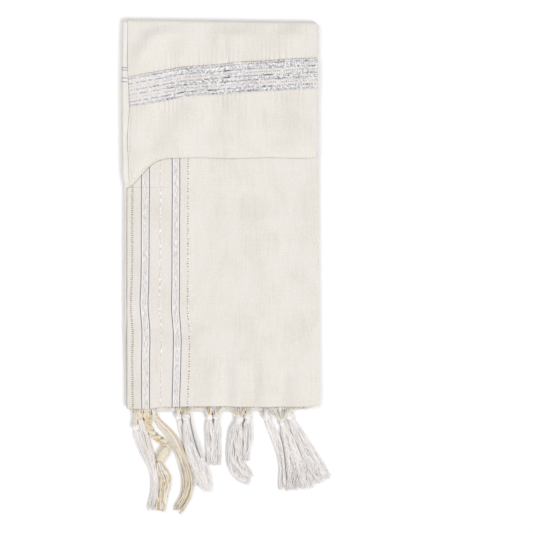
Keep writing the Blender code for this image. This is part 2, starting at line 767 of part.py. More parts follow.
def build_tzitzit_cord(material):
    """The wound corner cord: ridges round it for its windings, then its loose strings."""
    path = np.array([[row.across, -row.down, 0.0, row.half_width, 0.0] for row in CORD_PATH])
    levels = [level.down for level in CORD_LEVELS]
    path[:, 2] = np.interp(-path[:, 1], levels, [level.up for level in CORD_LEVELS])
    path[:, 4] = np.interp(-path[:, 1], levels, [level.half_height for level in CORD_LEVELS])
    head, _ = smooth_path(path, np.linspace(0, 1, CORD_RINGS + 1))
    turns = np.linspace(0, 2 * math.pi * CORD_WINDINGS, CORD_RINGS + 1)
    ridged = soft_step((np.arange(CORD_RINGS + 1) - PLAIN_RINGS) / PLAIN_RINGS)
    head[:, 3:] *= (1 + CORD_RIDGE * np.cos(turns) * ridged)[:, None]
    strings = np.array([[row.across, -row.down, 0.0, row.half_width, 0.0] for row in CORD_STRINGS])
    strings[:, 4] = np.linspace(CORD_STRAND_THICK, CORD_TIP_THICK, len(strings))
    strings[:, 2] = CORD_STRAND_LIFT + strings[:, 4]
    stations = np.vstack([path[-1:], strings])
    _, length = smooth_path(stations, [0.0])
    tail, _ = smooth_path(stations, np.linspace(0, 1, strand_steps(length) + 1)[1:])
    return build_bundle("tzitzit_cord", head, tail, CORD_STRAND_GRID, material)


def centre_on_origin():
    """Move every part so that the middle of the whole underside is the origin."""
    corners = np.array([vertex.co[:] for item in bpy.data.objects for vertex in item.data.vertices])
    low = corners.min(axis=0)
    high = corners.max(axis=0)
    shift = (-(low[0] + high[0]) / 2, -(low[1] + high[1]) / 2, -low[2])
    for item in bpy.data.objects:
        item.location = shift


def main():
    clear_scene()
    ivory = make_material("ivory_cloth", IVORY, roughness=0.9)
    silver = make_material("silver_band", SILVER, roughness=0.55, metallic=0.2)
    white = make_material("white_yarn", WHITE, roughness=0.85)
    cream = make_material("cream_cord", CREAM, roughness=0.8)
    build_under_layers(ivory)
    build_front_fold(ivory)
    build_neck_fold(ivory)
    build_neckband(silver)
    for tassel in TASSELS:
        build_tassel(tassel, cream if tassel.name.startswith("tzitzit") else white)
    build_tzitzit_cord(cream)
    centre_on_origin()


main()
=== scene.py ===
# %% [markdown]
# # A folded prayer shawl
# The shawl is one long woven cloth. It is folded in half lengthwise and then in four crosswise,
# so a stack of thin leaves lies on the table. A silvery band crosses the neck end, thin blue
# stripes run along the fringed end, and knotted tassels hang from the hem.
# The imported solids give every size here, so this lesson starts by loading them.

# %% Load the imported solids
import math
from collections import namedtuple

import bpy
import numpy as np
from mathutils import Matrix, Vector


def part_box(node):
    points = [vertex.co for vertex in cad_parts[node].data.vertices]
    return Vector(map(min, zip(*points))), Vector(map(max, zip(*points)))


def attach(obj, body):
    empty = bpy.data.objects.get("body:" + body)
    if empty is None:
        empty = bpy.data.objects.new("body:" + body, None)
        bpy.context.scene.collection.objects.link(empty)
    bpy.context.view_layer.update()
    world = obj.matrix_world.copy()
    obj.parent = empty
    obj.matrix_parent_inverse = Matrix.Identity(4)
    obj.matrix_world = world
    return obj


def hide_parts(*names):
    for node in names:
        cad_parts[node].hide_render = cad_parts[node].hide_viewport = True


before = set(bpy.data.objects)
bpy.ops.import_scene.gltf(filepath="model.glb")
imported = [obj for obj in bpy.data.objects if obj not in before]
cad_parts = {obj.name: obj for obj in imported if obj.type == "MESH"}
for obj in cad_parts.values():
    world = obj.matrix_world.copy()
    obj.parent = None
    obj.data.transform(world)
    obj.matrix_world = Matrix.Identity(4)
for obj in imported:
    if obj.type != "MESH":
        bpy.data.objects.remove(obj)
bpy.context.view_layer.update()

# %% [markdown]
# ## Where things lie
# Cloth is easiest to describe as a weaver would: how far across from the left side of the
# stack, how far down from its top edge, and how high above the table, all in millimetres.
# One function turns such places into Blender's metres, and two of the solids fix its origin.

# %% Places on the shawl
MM = 0.001
UNDER_EDGE = 0.3
ORIGIN_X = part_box("under_layers")[0].x - UNDER_EDGE * MM
ORIGIN_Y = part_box("neck_fold")[1].y


def place(across, down, up):
    """Points in metres from millimetres across, down and up."""
    across, down, up = np.broadcast_arrays(across, down, up)
    return np.stack([ORIGIN_X + across * MM, ORIGIN_Y - down * MM, up * MM], axis=-1)


def soft_step(value):
    """Zero below 0 and one above 1, with the even slope 3x^2 - 2x^3 between."""
    share = np.clip(value, 0.0, 1.0)
    return share * share * (3 - 2 * share)


def along_table(rows, at, column=1):
    """A column of a table, straight between the places that its first column gives."""
    table = np.array(rows, float).T
    return np.interp(at, table[0], table[column])


print("left side at", round(ORIGIN_X, 4), "and top edge at", round(ORIGIN_Y, 4))

# %% [markdown]
# ## Meshes from arrays
# A cloth can be pulled out of a plane by hand, but a formula keeps it even and repeatable.
# Each piece here is a grid of points worked out by numpy. A wall of cloth has an outer and an
# inner grid, joined round the rim, so that it is one closed skin with a real thickness.

# %% Turn arrays into pieces
def grid_quads(index):
    """The four corners of every cell in a grid of point numbers."""
    corners = [index[:-1, :-1], index[1:, :-1], index[1:, 1:], index[:-1, 1:]]
    return np.stack(corners, axis=-1).reshape(-1, 4)


def new_object(name, data):
    """An object that shows a mesh, a lamp or a camera, linked to the scene."""
    item = bpy.data.objects.new(name, data)
    bpy.context.scene.collection.objects.link(item)
    return item


def make_piece(name, points, quads, corner_uv, finish, slot_name, replaced=()):
    """One smooth mesh from points and four-cornered faces, with a UV pair for each corner."""
    mesh = bpy.data.meshes.new(name)
    mesh.vertices.add(len(points))
    mesh.vertices.foreach_set("co", np.ascontiguousarray(points, dtype=np.float32).ravel())
    mesh.loops.add(quads.size)
    mesh.loops.foreach_set("vertex_index", np.ascontiguousarray(quads, dtype=np.int32).ravel())
    mesh.polygons.add(len(quads))
    mesh.polygons.foreach_set("loop_start", np.arange(0, quads.size, 4, dtype=np.int32))
    mesh.polygons.foreach_set("use_smooth", np.ones(len(quads), dtype=bool))
    layer = mesh.uv_layers.new(name="pattern")
    layer.data.foreach_set("uv", np.ascontiguousarray(corner_uv, dtype=np.float32).ravel())
    mesh.update(calc_edges=True)
    mesh.materials.append(finish)
    piece = new_object(name, mesh)
    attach(piece, "root")
    if replaced:
        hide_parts(*replaced)
    print(name, "has", 2 * len(quads), "triangles")
    return piece


def wall_piece(name, grids, uv, finish, slot_name, replaced=()):
    """A closed wall between an outer and an inner grid of points, with the outer one's pattern."""
    outer, inner = grids
    rows, columns = outer.shape[:2]
    count = rows * columns
    front = np.arange(count).reshape(rows, columns)
    back = front + count

    def rim(first, second):
        return np.stack([first[:-1], second[:-1], second[1:], first[1:]], axis=-1)

    quads = np.concatenate([
        grid_quads(front),
        grid_quads(back)[:, ::-1],
        rim(front[0], back[0])[:, ::-1],
        rim(front[-1], back[-1]),
        rim(front[:, 0], back[:, 0]),
        rim(front[:, -1], back[:, -1])[:, ::-1],
    ])
    points = np.concatenate([outer.reshape(-1, 3), inner.reshape(-1, 3)])
    pairs = np.concatenate([uv.reshape(-1, 2)] * 2)
    normal_up = np.cross(outer[1, 1] - outer[0, 1], outer[1, 0] - outer[1, 1])
    outwards = outer[0, 1] - inner[0, 1]
    if normal_up @ outwards > 0:
        quads = quads[:, ::-1]
    return make_piece(name, points, quads, pairs[quads.ravel()], finish, slot_name, replaced)


# %% [markdown]
# ## Shader sums
# A finish is easier to read as arithmetic than as a web of nodes. The small class below wraps a
# node's output, so that plus, minus and times add Math nodes and link them.

# %% Write shaders as arithmetic
class Wire:
    """A shader output that takes part in sums."""

    def __init__(self, socket):
        self.socket = socket

    def sum_node(self, operation, *values):
        node = self.socket.id_data.nodes.new("ShaderNodeMath")
        node.operation = operation
        for socket, value in zip(node.inputs, values):
            plug(socket, value)
        return Wire(node.outputs[0])

    def __add__(self, other):
        return self.sum_node("ADD", self, other)

    def __sub__(self, other):
        return self.sum_node("SUBTRACT", self, other)

    def __rsub__(self, other):
        return self.sum_node("SUBTRACT", other, self)

    def __mul__(self, other):
        return self.sum_node("MULTIPLY", self, other)

    def __truediv__(self, other):
        return self.sum_node("DIVIDE", self, other)

    __radd__ = __add__
    __rmul__ = __mul__

    def sine(self):
        return self.sum_node("SINE", self)

    def size(self):
        return self.sum_node("ABSOLUTE", self)

    def whole(self):
        return self.sum_node("FLOOR", self)

    def at_most(self, other):
        return self.sum_node("MINIMUM", self, other)

    def at_least(self, other):
        return self.sum_node("MAXIMUM", self, other)

    def rise(self, low, high):
        """Zero up to low, one from high, and smooth between them."""
        node = self.socket.id_data.nodes.new("ShaderNodeMapRange")
        node.interpolation_type = "SMOOTHSTEP"
        for name, value in (("Value", self), ("From Min", low), ("From Max", high)):
            plug(node.inputs[name], value)
        return Wire(node.outputs["Result"])


def plug(socket, value):
    """Link a wire to a socket, or set a plain value on it."""
    if isinstance(value, Wire):
        socket.id_data.links.new(value.socket, socket)
    elif isinstance(value, tuple) and socket.type == "RGBA":
        socket.default_value = (*value, 1.0)
    else:
        socket.default_value = value


print("shader sums ready")

# %% [markdown]
# ## A finish as an object
# Each material starts from Blender's own surface node. One method makes any kind of node from
# the values or links of its sockets, and the others name what they draw: smooth noise, which
# two scales can stretch into streaks, chance numbers in cells, and a mix of two colours.

# %% Gather a material's nodes
class Finish:
    """A material with one method for every kind of node."""

    def __init__(self, name):
        self.material = bpy.data.materials.new(name)
        self.material.use_nodes = True
        self.tree = self.material.node_tree
        self.surface = self.tree.nodes["Principled BSDF"]

    def node(self, kind, **sockets):
        """A new node's output, with values or wires for its sockets, named without spaces."""
        node = self.tree.nodes.new("ShaderNode" + kind)
        enabled = {socket.name.replace(" ", ""): socket for socket in node.inputs if socket.enabled}
        for key, value in sockets.items():
            plug(enabled[key], value)
        return Wire(next(socket for socket in node.outputs if socket.enabled))

    def parts(self):
        """The two numbers of the piece's own UV map."""
        pair = self.tree.nodes.new("ShaderNodeUVMap")
        pair.uv_map = "pattern"
        split = self.tree.nodes.new("ShaderNodeSeparateXYZ")
        self.tree.links.new(pair.outputs[0], split.inputs[0])
        return Wire(split.outputs[0]), Wire(split.outputs[1])

    def pattern(self):
        """Millimetres across and down the pattern."""
        across, down = self.parts()
        return across * UV_MM, down * UV_MM

    def spot(self, x, y, z=0.0):
        """A place for a texture, from three numbers."""
        return self.node("CombineXYZ", X=x, Y=y, Z=z)

    def noise(self, x, y, z=0.0, detail=2.0):
        """Smooth noise from 0 to 1 at a place, one blob for each unit."""
        return self.node("TexNoise", Vector=self.spot(x, y, z), Scale=1.0, Detail=detail)

    def dice(self, x, y, z=0.0):
        """A different number from 0 to 1 in every unit cell."""
        place_at = self.spot(x.whole(), y.whole() if isinstance(y, Wire) else y, z)
        return self.node("TexWhiteNoise", Vector=place_at)

    def mix(self, share, first, second):
        """A colour between two others."""
        node = self.tree.nodes.new("ShaderNodeMix")
        node.data_type = "RGBA"
        plug(node.inputs[0], share)
        plug(node.inputs[6], first)
        plug(node.inputs[7], second)
        return Wire(node.outputs[2])

    def bump(self, height, distance, strength=1.0):
        """A normal from a height in shares of a distance in metres."""
        return self.node("Bump", Height=height, Distance=distance, Strength=strength)

    def set(self, **sockets):
        """Values or links of the surface's sockets, by their names without spaces."""
        for key, value in sockets.items():
            match = next(s for s in self.surface.inputs if s.name.replace(" ", "") == key)
            plug(match, value)
        return self.material


UV_MM = 100.0
UV_SHARE = 1 / UV_MM
print("one unit of the pattern map is", UV_MM, "mm")

# %% [markdown]
# ## The camera and the light
# The photo looks straight down, so the camera hangs over the cloth. A long lens from a metre
# and a half keeps the sides of the stack from leaning. A wide lamp, far off at the lower
# right, works like a window. A smaller one, nearer at the upper left, softens its shadows, and
# a fairly bright room gives the gentle shade that shows folds in pale cloth.

# %% Camera, lamps and table
PHOTO_SIZE = 533
PHOTO_LEFT = 121.0
PHOTO_TOP = 19.0
MM_PER_PIXEL = 1.2
LENS = 85.0
SENSOR = 36.0
NEAREST_SEEN = 0.01
CLOTH_LEVEL = 0.008
Lamp = namedtuple("Lamp", "name place size power")
LAMPS = [
    Lamp("window", (3.8, -3.4, 6.2), 3.1, 348.0),
    Lamp("ceiling", (-1.1, 0.75, 2.3), 1.4, 25.0),
]
ROOM_WHITE = (1.0, 1.0, 1.0, 1.0)
ROOM_STRENGTH = 0.43
TABLE_HALF = 3.0
TABLE_WHITE = (0.93, 0.93, 0.93)

camera_data = bpy.data.cameras.new("overhead")
camera_data.lens = LENS
camera_data.sensor_width = SENSOR
camera_data.clip_start = NEAREST_SEEN
camera = new_object("overhead", camera_data)
middle_across = (PHOTO_SIZE / 2 - PHOTO_LEFT) * MM_PER_PIXEL
middle_down = (PHOTO_SIZE / 2 - PHOTO_TOP) * MM_PER_PIXEL
view_width = PHOTO_SIZE * MM_PER_PIXEL * MM
camera.location = place(middle_across, middle_down, 0.0)
camera.location.z = view_width * LENS / SENSOR + CLOTH_LEVEL
bpy.context.scene.camera = camera

for lamp in LAMPS:
    light = bpy.data.lights.new(lamp.name, "AREA")
    light.size = lamp.size
    light.energy = lamp.power
    item = new_object(lamp.name, light)
    item.location = lamp.place
    x, y, z = lamp.place
    # A lamp shines straight down until it is tilted and spun to look at the middle.
    item.rotation_euler = (math.atan2(math.hypot(x, y), z), 0.0, math.atan2(x, -y))

world = bpy.data.worlds.new("studio")
world.use_nodes = True
room = world.node_tree.nodes["Background"]
room.inputs["Color"].default_value = ROOM_WHITE
room.inputs["Strength"].default_value = ROOM_STRENGTH
bpy.context.scene.world = world
bpy.context.scene.view_settings.view_transform = "Standard"

table_corners = [(x * TABLE_HALF, y * TABLE_HALF, 0) for x, y in ((-1, -1), (1, -1), (1, 1), (-1, 1))]
table_mesh = bpy.data.meshes.new("table")
table_mesh.from_pydata(table_corners, [], [(0, 1, 2, 3)])
table = new_object("table", table_mesh)
table_mesh.materials.append(Finish("pale_table").set(BaseColor=TABLE_WHITE, Roughness=0.9))
print("camera height", round(camera.location.z, 3))

# %% [markdown]
# ## The ivory cloth
# The cloth is a plain weave of ivory yarn spun unevenly, so long thin slubs show as streaks
# along it. The weave is a sine across times a sine down, and the slubs are noise stretched
# many times longer than wide. Both change the height a little and the colour a little.

# %% Ivory cloth finishes
IVORY = (0.775, 0.74, 0.69)
IVORY_SHADE = (0.685, 0.637, 0.565)
IVORY_LIGHT = (0.86, 0.842, 0.81)
WEAVE_PITCH = 0.85
WEAVE_SWAY = 2.2
WEAVE_RELIEF = 0.16
TAU = 2 * math.pi


def woven(finish, across, down):
    """Colour and height: two sines, and noises whose small factors make long blobs."""
    thread = math.pi / WEAVE_PITCH
    warp = (across * thread + WEAVE_SWAY * finish.noise(across * 0.12, down * 0.05, 3.0)).sine()
    weft = (down * thread + WEAVE_SWAY * finish.noise(across * 0.05, down * 0.12, 7.0)).sine()
    slub = finish.noise(across * 0.75, down * 0.045, 1.0, detail=3.0)
    broad = finish.noise(across * 0.3, down * 0.02, 6.0)
    fine = finish.noise(across * 1.5, down * 0.12, 9.0)
    cross_slub = finish.noise(across * 0.05, down * 0.8, 5.0, detail=3.0)
    grain = finish.noise(across * 0.55, down * 0.5, 8.0, detail=3.0)
    cloud = finish.noise(across * 0.028, down * 0.02, 2.0)
    dark = slub.rise(0.48, 0.72) * 0.26 + broad.rise(0.48, 0.72) * 0.24
    dark = dark + cross_slub.rise(0.5, 0.76) * 0.16
    dark = dark + cloud.rise(0.4, 0.7) * 0.4 + grain.rise(0.5, 0.75) * 0.34
    light = fine.rise(0.5, 0.76) * 0.34 + grain.rise(0.5, 0.3) * 0.35
    colour = finish.mix(dark.at_most(1.0), IVORY, IVORY_SHADE)
    colour = finish.mix(light.at_most(1.0), colour, IVORY_LIGHT)
    height = warp * WEAVE_RELIEF + weft * WEAVE_RELIEF
    height = height + slub * 0.8 + fine * 0.5 + cross_slub * 0.5 + grain * 0.7
    return colour, height


def finish_cloth(finish, colour, height):
    """Set the sockets that all the ivory cloth shares."""
    return finish.set(
        BaseColor=colour, Roughness=0.88, SheenWeight=0.2, SheenRoughness=0.5,
        SpecularIORLevel=0.25, Normal=finish.bump(height, 0.0005, 0.6))


print("weave pitch", WEAVE_PITCH, "mm")

# %% [markdown]
# ## The striped end
# Four blue threads run along the fringed end in two pairs, with a silvery strip inside each
# pair, and three rows of drawn-thread holes. The dark of the holes and of a pressed crease is
# painted shade, and the silvery strips carry painted glints. The pattern map's first number is
# the stripe's own place, so a stripe wanders with the cloth while the shader draws it straight.

# %% Striped cloth finish
BLUE = (0.075, 0.08, 0.19)
STRIP_CREAM = (0.74, 0.71, 0.70)
STRIP_GREY = (0.43, 0.40, 0.385)
# Near white, also used for painted glints on the silvery strips.
SHINE = (0.95, 0.94, 0.93)
# Dark brown of painted shade, in the drawn-thread holes and along the pressed crease.
HOLE_AND_CREASE_SHADE = (0.31, 0.24, 0.155)
DRAWN_TAN = (0.50, 0.42, 0.30)
STRIPED_SHADE = (0.70, 0.65, 0.62)
BLUE_LINES = (24.7, 34.0, 61.6, 70.6)
BLUE_WIDTH = 1.0
SHINE_PLACES = (26.0, 32.9, 62.9, 69.5)
SHINE_HALF = 0.28
LINE_SOFT = 0.2
SILVER_STRIPS = ((26.8, 32.2), (63.6, 68.6))
STRIPED_TO = 84.0
PRESS_DOWN = 202.0
LANE_SOFT = 0.35
Drawn = namedtuple("Drawn", "across half_width pitch hole thread thread_length")
DRAWN_ROWS = [
    Drawn(13.6, 1.25, 2.3, 0.95, 0.45, 2.0),
    Drawn(47.2, 0.75, 2.6, 0.35, 1.0, 4.5),
    Drawn(80.4, 0.85, 3.0, 1.0, 0.9, 2.6),
]


def near(value, centre, half_width, soft):
    """One within a half width of a centre, falling to zero over a soft edge."""
    return 1 - (value - centre).size().rise(half_width - soft, half_width + soft)


def drawn_rows(finish, across, down, colour, height):
    """Drawn-thread holes as uneven dots of painted shade down a swaying lane, with white dashes beside
    them.
    """
    for number, row in enumerate(DRAWN_ROWS):
        sway = finish.noise(down * 0.2, number * 3.0, 6.0) * 1.6 - 0.8
        place_at = across + sway - row.across
        phase = finish.noise(down * 0.3, number * 7.0, 2.0) * 4.0
        dot = (down * (TAU / row.pitch) + phase).sine()
        chance = finish.noise(down * 0.5, number * 11.0 + across * 0.8, 4.0)
        lane = near(place_at, 0.0, row.half_width, LANE_SOFT)
        # Each hole's dark dot is painted shade; its dip in the height is a bump.
        hole = lane * (dot + chance * 1.6 - 0.8).rise(0.0, 0.7) * row.hole
        dash = finish.noise(place_at * 0.8, down / row.thread_length, number + 9.0).rise(0.5, 0.58)
        thread = near(place_at, 0.35, row.half_width + 0.3, LANE_SOFT) * dash
        colour = finish.mix(lane * 0.18, colour, DRAWN_TAN)
        colour = finish.mix(hole, colour, HOLE_AND_CREASE_SHADE)
        colour = finish.mix(thread * row.thread, colour, SHINE)
        height = height - hole * 1.2 + thread * 0.6
    return colour, height


def striped_finish():
    """Ivory cloth with blue threads, silvery strips with painted glints, and drawn-thread holes and a
    pressed crease in painted shade.
    """
    finish = Finish("striped_cloth")
    across, down = finish.pattern()
    colour, height = woven(finish, across, down)
    greyer = 1 - across.rise(STRIPED_TO - 4, STRIPED_TO)
    colour = finish.mix(greyer * 0.16, colour, STRIPED_SHADE)
    threads = finish.noise(across * 1.1, down * 0.14, 4.0)
    knots = finish.noise(across * 1.5, down * 0.4, 5.0)
    for low, high in SILVER_STRIPS:
        strip = near(across, (low + high) / 2, (high - low) / 2, 0.3)
        tone = finish.mix(threads.rise(0.5, 0.62) * 0.6, STRIP_CREAM, STRIP_GREY)
        tone = finish.mix(knots.rise(0.56, 0.64) * 0.6, tone, STRIP_GREY)
        # White specks of painted glint on the metal thread of the silvery strips.
        tone = finish.mix(threads.rise(0.46, 0.36) * 0.9, tone, SHINE)
        colour = finish.mix(strip * 0.85, colour, tone)
    wobble = finish.noise(down * 0.05, 0.0, 0.0) * 0.5 - 0.25
    edge = finish.noise(across * 0.3, down * 0.8, 2.0) * 0.3 - 0.15
    for centre in SHINE_PLACES:
        colour = finish.mix(near(across + wobble, centre, SHINE_HALF, LINE_SOFT) * 0.75, colour, SHINE)
    for number, centre in enumerate(BLUE_LINES):
        worn = finish.noise(down * 0.45, number * 5.0, 1.0)
        line = near(across + wobble + edge, centre, BLUE_WIDTH / 2, LINE_SOFT)
        bead = finish.noise(down * 0.85, number * 5.0, 8.0).rise(0.42, 0.6)
        colour = finish.mix(line * (1 - worn.rise(0.5, 0.75) * 0.3 - bead * 0.25), colour, BLUE)
        height = height + line * 0.5
    colour, height = drawn_rows(finish, across, down, colour, height)
    # A faint line of painted shade along the pressed crease.
    press = near(down, PRESS_DOWN, LANE_SOFT, LANE_SOFT) * (1 - across.rise(50.0, 66.0)) * 0.25
    colour = finish.mix(press, colour, HOLE_AND_CREASE_SHADE)
    return finish_cloth(finish, colour, height)


striped_cloth = striped_finish()
print("made", striped_cloth.name)

# %% [markdown]
# ## The folded leaves
# Folded in half, the cloth makes a long flat U: an upper leaf, a tight turn at the right, and
# a lower leaf. One section of that U is carried down the shawl. The edges come from short
# tables, because the leaves are not laid quite straight.

# %% Sizes and edges of the leaves
SEAM_GAP = 0.3
LEAF_PAIR = 2.3
TURN_RADIUS = LEAF_PAIR / 2
LEAF = 0.85
UNDER_HEIGHT = 5.6
UNDER_LENGTH = 472.0
FRONT_BASE = UNDER_HEIGHT + SEAM_GAP
NECK_BASE = FRONT_BASE + LEAF_PAIR + SEAM_GAP
FLOOR_GAP = 0.2
WRAP_RADIUS = (NECK_BASE - LEAF_PAIR - FLOOR_GAP) / 2
WRAP_DOWN = WRAP_RADIUS + LEAF_PAIR
WRAP_UP = NECK_BASE - WRAP_RADIUS
NECK_LENGTH = 203.5
FRONT_LENGTH = 468.0
TOP_EDGE_SLOPE = 3.5 / 226.0
EDGE_FADE = 18.0

# A side edge is given by rows of how far down, and how far across it lies there.
NECK_TOP_LEFT = [
    (0, 8.2), (61, 8.4), (97, 10.4), (108, 10.8), (120, 9.2), (136, 8.2), (151, 7.7), (162, 8.9),
    (188, 9.2), (203.5, 10.8),
]
NECK_LOW_LEFT = [(0, 3.4), (60, 2.7), (150, 2.9), (188, 3.3), (203.5, 5.4)]
NECK_RIGHT = [(0, 235.0), (203.5, 236.0)]
# An end is given by rows of how far across, and how far down the leaf reaches there.
NECK_END = [
    (10.8, 203.5), (13, 200), (32.4, 178.8), (37.2, 174), (43.2, 170.4), (55, 167.4), (92, 166.4),
    (130, 167.6), (178, 166.2), (210, 167.2), (236, 166.6),
]
FRONT_TOP_LEFT = [(0, 7.6), (260, 7.2), (468, 7.4)]
FRONT_LOW_LEFT = [(0, 4.6), (340, 4.8), (468, 6.6)]
FRONT_RIGHT = [(0, 235.6), (203, 236.6), (367, 237.8), (455, 239.0), (468, 237.6)]
FRONT_END = [
    (7, 468), (36, 467.8), (46, 465.6), (110, 464.6), (160, 465.6), (232, 465.2), (239, 462.0),
]


def edge_at(rows, down):
    """How far across an edge lies."""
    return along_table(rows, down)


def end_at(rows, across):
    """How far down a leaf ends, eased over a few millimetres so that no corner is sharp."""
    spread = np.linspace(-4, 4, 9)[:, None, None]
    return along_table(rows, np.asarray(across)[None] + spread).mean(axis=0)


def top_edge_at(across):
    """How far down the stack's top edge lies, which drops a little to the right."""
    return TOP_EDGE_SLOPE * (across - 9.0)


print("neck leaves start", round(NECK_BASE, 1), "mm up, and the wrap's radius is", round(WRAP_RADIUS, 2))

# %% [markdown]
# ## Creases and puckers
# Pressed cloth keeps soft troughs and ridges. Each one here is a line with a width and a
# height, and fades to the sides like a bell. The neckband was sewn on a little tight, so the
# cloth gathers into short narrow puckers above and below it.

# %% Creases and the band's edges
Crease = namedtuple("Crease", "across down across_end down_end width height")

NECK_PUFF = 2.2
NECK_CREASES = [
    Crease(64, -4, 18, 50, 14, 3.9), Crease(28, 4, 20, 26, 12, -2.4),
    Crease(98, 6, 94, 52, 15, -2.4), Crease(112, 12, 117, 50, 6, 1.3),
    Crease(140, 8, 138, 50, 15, 3.9), Crease(124, 26, 127, 54, 5, -1.2),
    Crease(174, 10, 170, 44, 13, -2.4), Crease(203, 8, 200, 40, 13, 2.7),
    Crease(76, 30, 70, 60, 7, 1.4), Crease(150, 94, 157, 128, 14, 3.9),
    Crease(116, 98, 110, 134, 14, -2.7), Crease(128, 92, 133, 112, 6, 1.4),
    Crease(84, 100, 70, 146, 14, 2.6), Crease(46, 108, 36, 150, 13, -2.1),
    Crease(186, 96, 193, 140, 14, -2.6), Crease(216, 108, 212, 156, 13, 2.1),
]
FRONT_PUFF = 2.4
FRONT_CREASES = [
    Crease(10, 356, 80, 374, 11, -3.6), Crease(20, 332, 76, 346, 12, 1.8),
    Crease(14, 388, 70, 396, 13, 1.5), Crease(112, 425, 112, 470, 9, 2.1),
    Crease(127, 420, 126, 470, 9, -2.1), Crease(141, 415, 141, 470, 10, 2.1),
    Crease(158, 430, 159, 470, 8, -1.8), Crease(174, 425, 175, 470, 11, 2.4),
    Crease(193, 430, 194, 470, 8, -2.4), Crease(214, 436, 212, 470, 10, 1.5),
    Crease(160, 250, 170, 400, 22, 2.4), Crease(100, 240, 92, 330, 18, -2.1),
    Crease(120, 330, 200, 352, 16, -1.5), Crease(205, 210, 212, 300, 14, -1.8),
]
HEM_SHARE = 0.7
RIPPLE = 0.1
PRESS_DEPTH = 0.22
PRESS_WIDTH = 1.3
PRESS_TO = 78.0
FRONT_FLAT_TO = 208.0
OPEN_DROOP = 0.75
OPEN_REACH = 4.0
END_DROOP = 1.3
END_REACH = 3.2

# How far across, and how far down the band's upper and lower edges lie there.
BAND_EDGES = [
    (10.8, 69.6, 106.0), (34, 65.2, 102.2), (52.8, 61.8, 99.0), (76.8, 57.8, 94.6),
    (93.6, 56.4, 92.6), (114, 55.4, 91.6), (154.8, 51.5, 88.5), (235.2, 46.8, 84.0),
]
PUCKER_HEIGHT = 1.3
PUCKER_PITCH = 5.8
PUCKER_REACH = 12.0
print(len(NECK_CREASES), "creases on the neck leaf and", len(FRONT_CREASES), "on the front leaf")

# %% [markdown]
# ## Heights from the tables
# A leaf's height is a sum: a low puff of air, the creases, the puckers beside the band, and a
# slight ripple. Fades bring it down to nothing where the cloth is folded or pressed flat.

# %% Heights of the upper leaves
def relief(across, down, creases, puff):
    """A puff plus each crease's height times exp of minus its distance over its width, squared."""
    height = np.full(np.shape(across), puff)
    for crease in creases:
        run = np.array([crease.across_end - crease.across, crease.down_end - crease.down])
        beside, below = across - crease.across, down - crease.down
        share = np.clip((beside * run[0] + below * run[1]) / (run @ run), 0.0, 1.0)
        aside = np.hypot(beside - share * run[0], below - share * run[1])
        height = height + crease.height * np.exp(-((aside / crease.width) ** 2))
    return np.maximum(height, 0.0)


def band_upper(across):
    return along_table(BAND_EDGES, across, 1)


def band_lower(across):
    return along_table(BAND_EDGES, across, 2)


def gathers(across, phase):
    """Narrow ridges at uneven spacing: the square of a sine whose phase wanders."""
    wander = 1.5 * np.sin(across / 5.7 + phase) + 1.1 * np.sin(across / 13.1 + 2.0 * phase)
    wave = np.sin(TAU * across / PUCKER_PITCH + wander)
    strength = 0.62 + 0.38 * np.sin(across / 9.0 + 3.1 * phase) * np.sin(across / 23.0 + phase)
    return wave * np.abs(wave) * strength


def puckers(across, down):
    """Gathers that stand beside the band's two edges and die out away from it."""
    above = band_upper(across) - down
    below = down - band_lower(across)
    reach_above = PUCKER_REACH + 6.0 * np.sin(across / 4.3)
    reach_below = PUCKER_REACH + 7.0 * np.sin(across / 5.1 + 2.0)
    up_side = np.exp(-np.maximum(above, 0.0) / reach_above) * soft_step((above + 3.0) / 3.0)
    low_side = np.exp(-np.maximum(below, 0.0) / reach_below) * soft_step((below + 3.0) / 3.0)
    return PUCKER_HEIGHT * (gathers(across, 0.4) * up_side + 0.8 * gathers(across, 1.7) * low_side)


def neck_height(across, down):
    """Relief of the neck leaf, flat at its fold and at the top edge."""
    calm = soft_step((edge_at(NECK_RIGHT, down) - TURN_RADIUS - across) / EDGE_FADE)
    fade = calm * soft_step((down - WRAP_DOWN) / EDGE_FADE)
    fade = fade * (0.25 + 0.75 * soft_step((across - 8.0) / EDGE_FADE))
    fade = fade * (0.3 + 0.7 * soft_step((end_at(NECK_END, across) - down) / EDGE_FADE))
    small = soft_step((across - 9.0) / 14.0) * (0.3 + 0.7 * calm)
    ripple = RIPPLE * np.sin(across / 5.3 + 0.9 * np.sin(down / 19.0)) * np.sin(down / 31.0 + 1.0)
    from_left = (across - edge_at(NECK_TOP_LEFT, down)) / OPEN_REACH
    from_end = (end_at(NECK_END, across) - down) / END_REACH
    droop = np.maximum(OPEN_DROOP * np.exp(-(from_left ** 2)), END_DROOP * np.exp(-(from_end ** 2)))
    height = fade * relief(across, down, NECK_CREASES, NECK_PUFF)
    height = height + small * (puckers(across, down) + ripple)
    return height - droop


def front_height(across, down):
    """Relief of the front leaf, flat at its fold and under the neck leaves."""
    fade = soft_step((edge_at(FRONT_RIGHT, down) - TURN_RADIUS - across) / EDGE_FADE)
    fade = fade * soft_step((down - FRONT_FLAT_TO) / (2 * EDGE_FADE))
    fade = fade * (0.25 + 0.75 * soft_step((across - 7.0) / EDGE_FADE))
    hem = soft_step((FRONT_LENGTH - down) / EDGE_FADE)
    fade = fade * (HEM_SHARE + (1 - HEM_SHARE) * hem)
    ripple = 0.9 * RIPPLE * np.sin(across / 6.1 + 1.2 * np.sin(down / 23.0)) * np.sin(down / 27.0)
    press = np.exp(-(((down - PRESS_DOWN) / PRESS_WIDTH) ** 2)) * soft_step((PRESS_TO - across) / 20.0)
    return fade * (relief(across, down, FRONT_CREASES, FRONT_PUFF) + ripple) - PRESS_DEPTH * press


print("tallest pucker", PUCKER_HEIGHT, "mm")
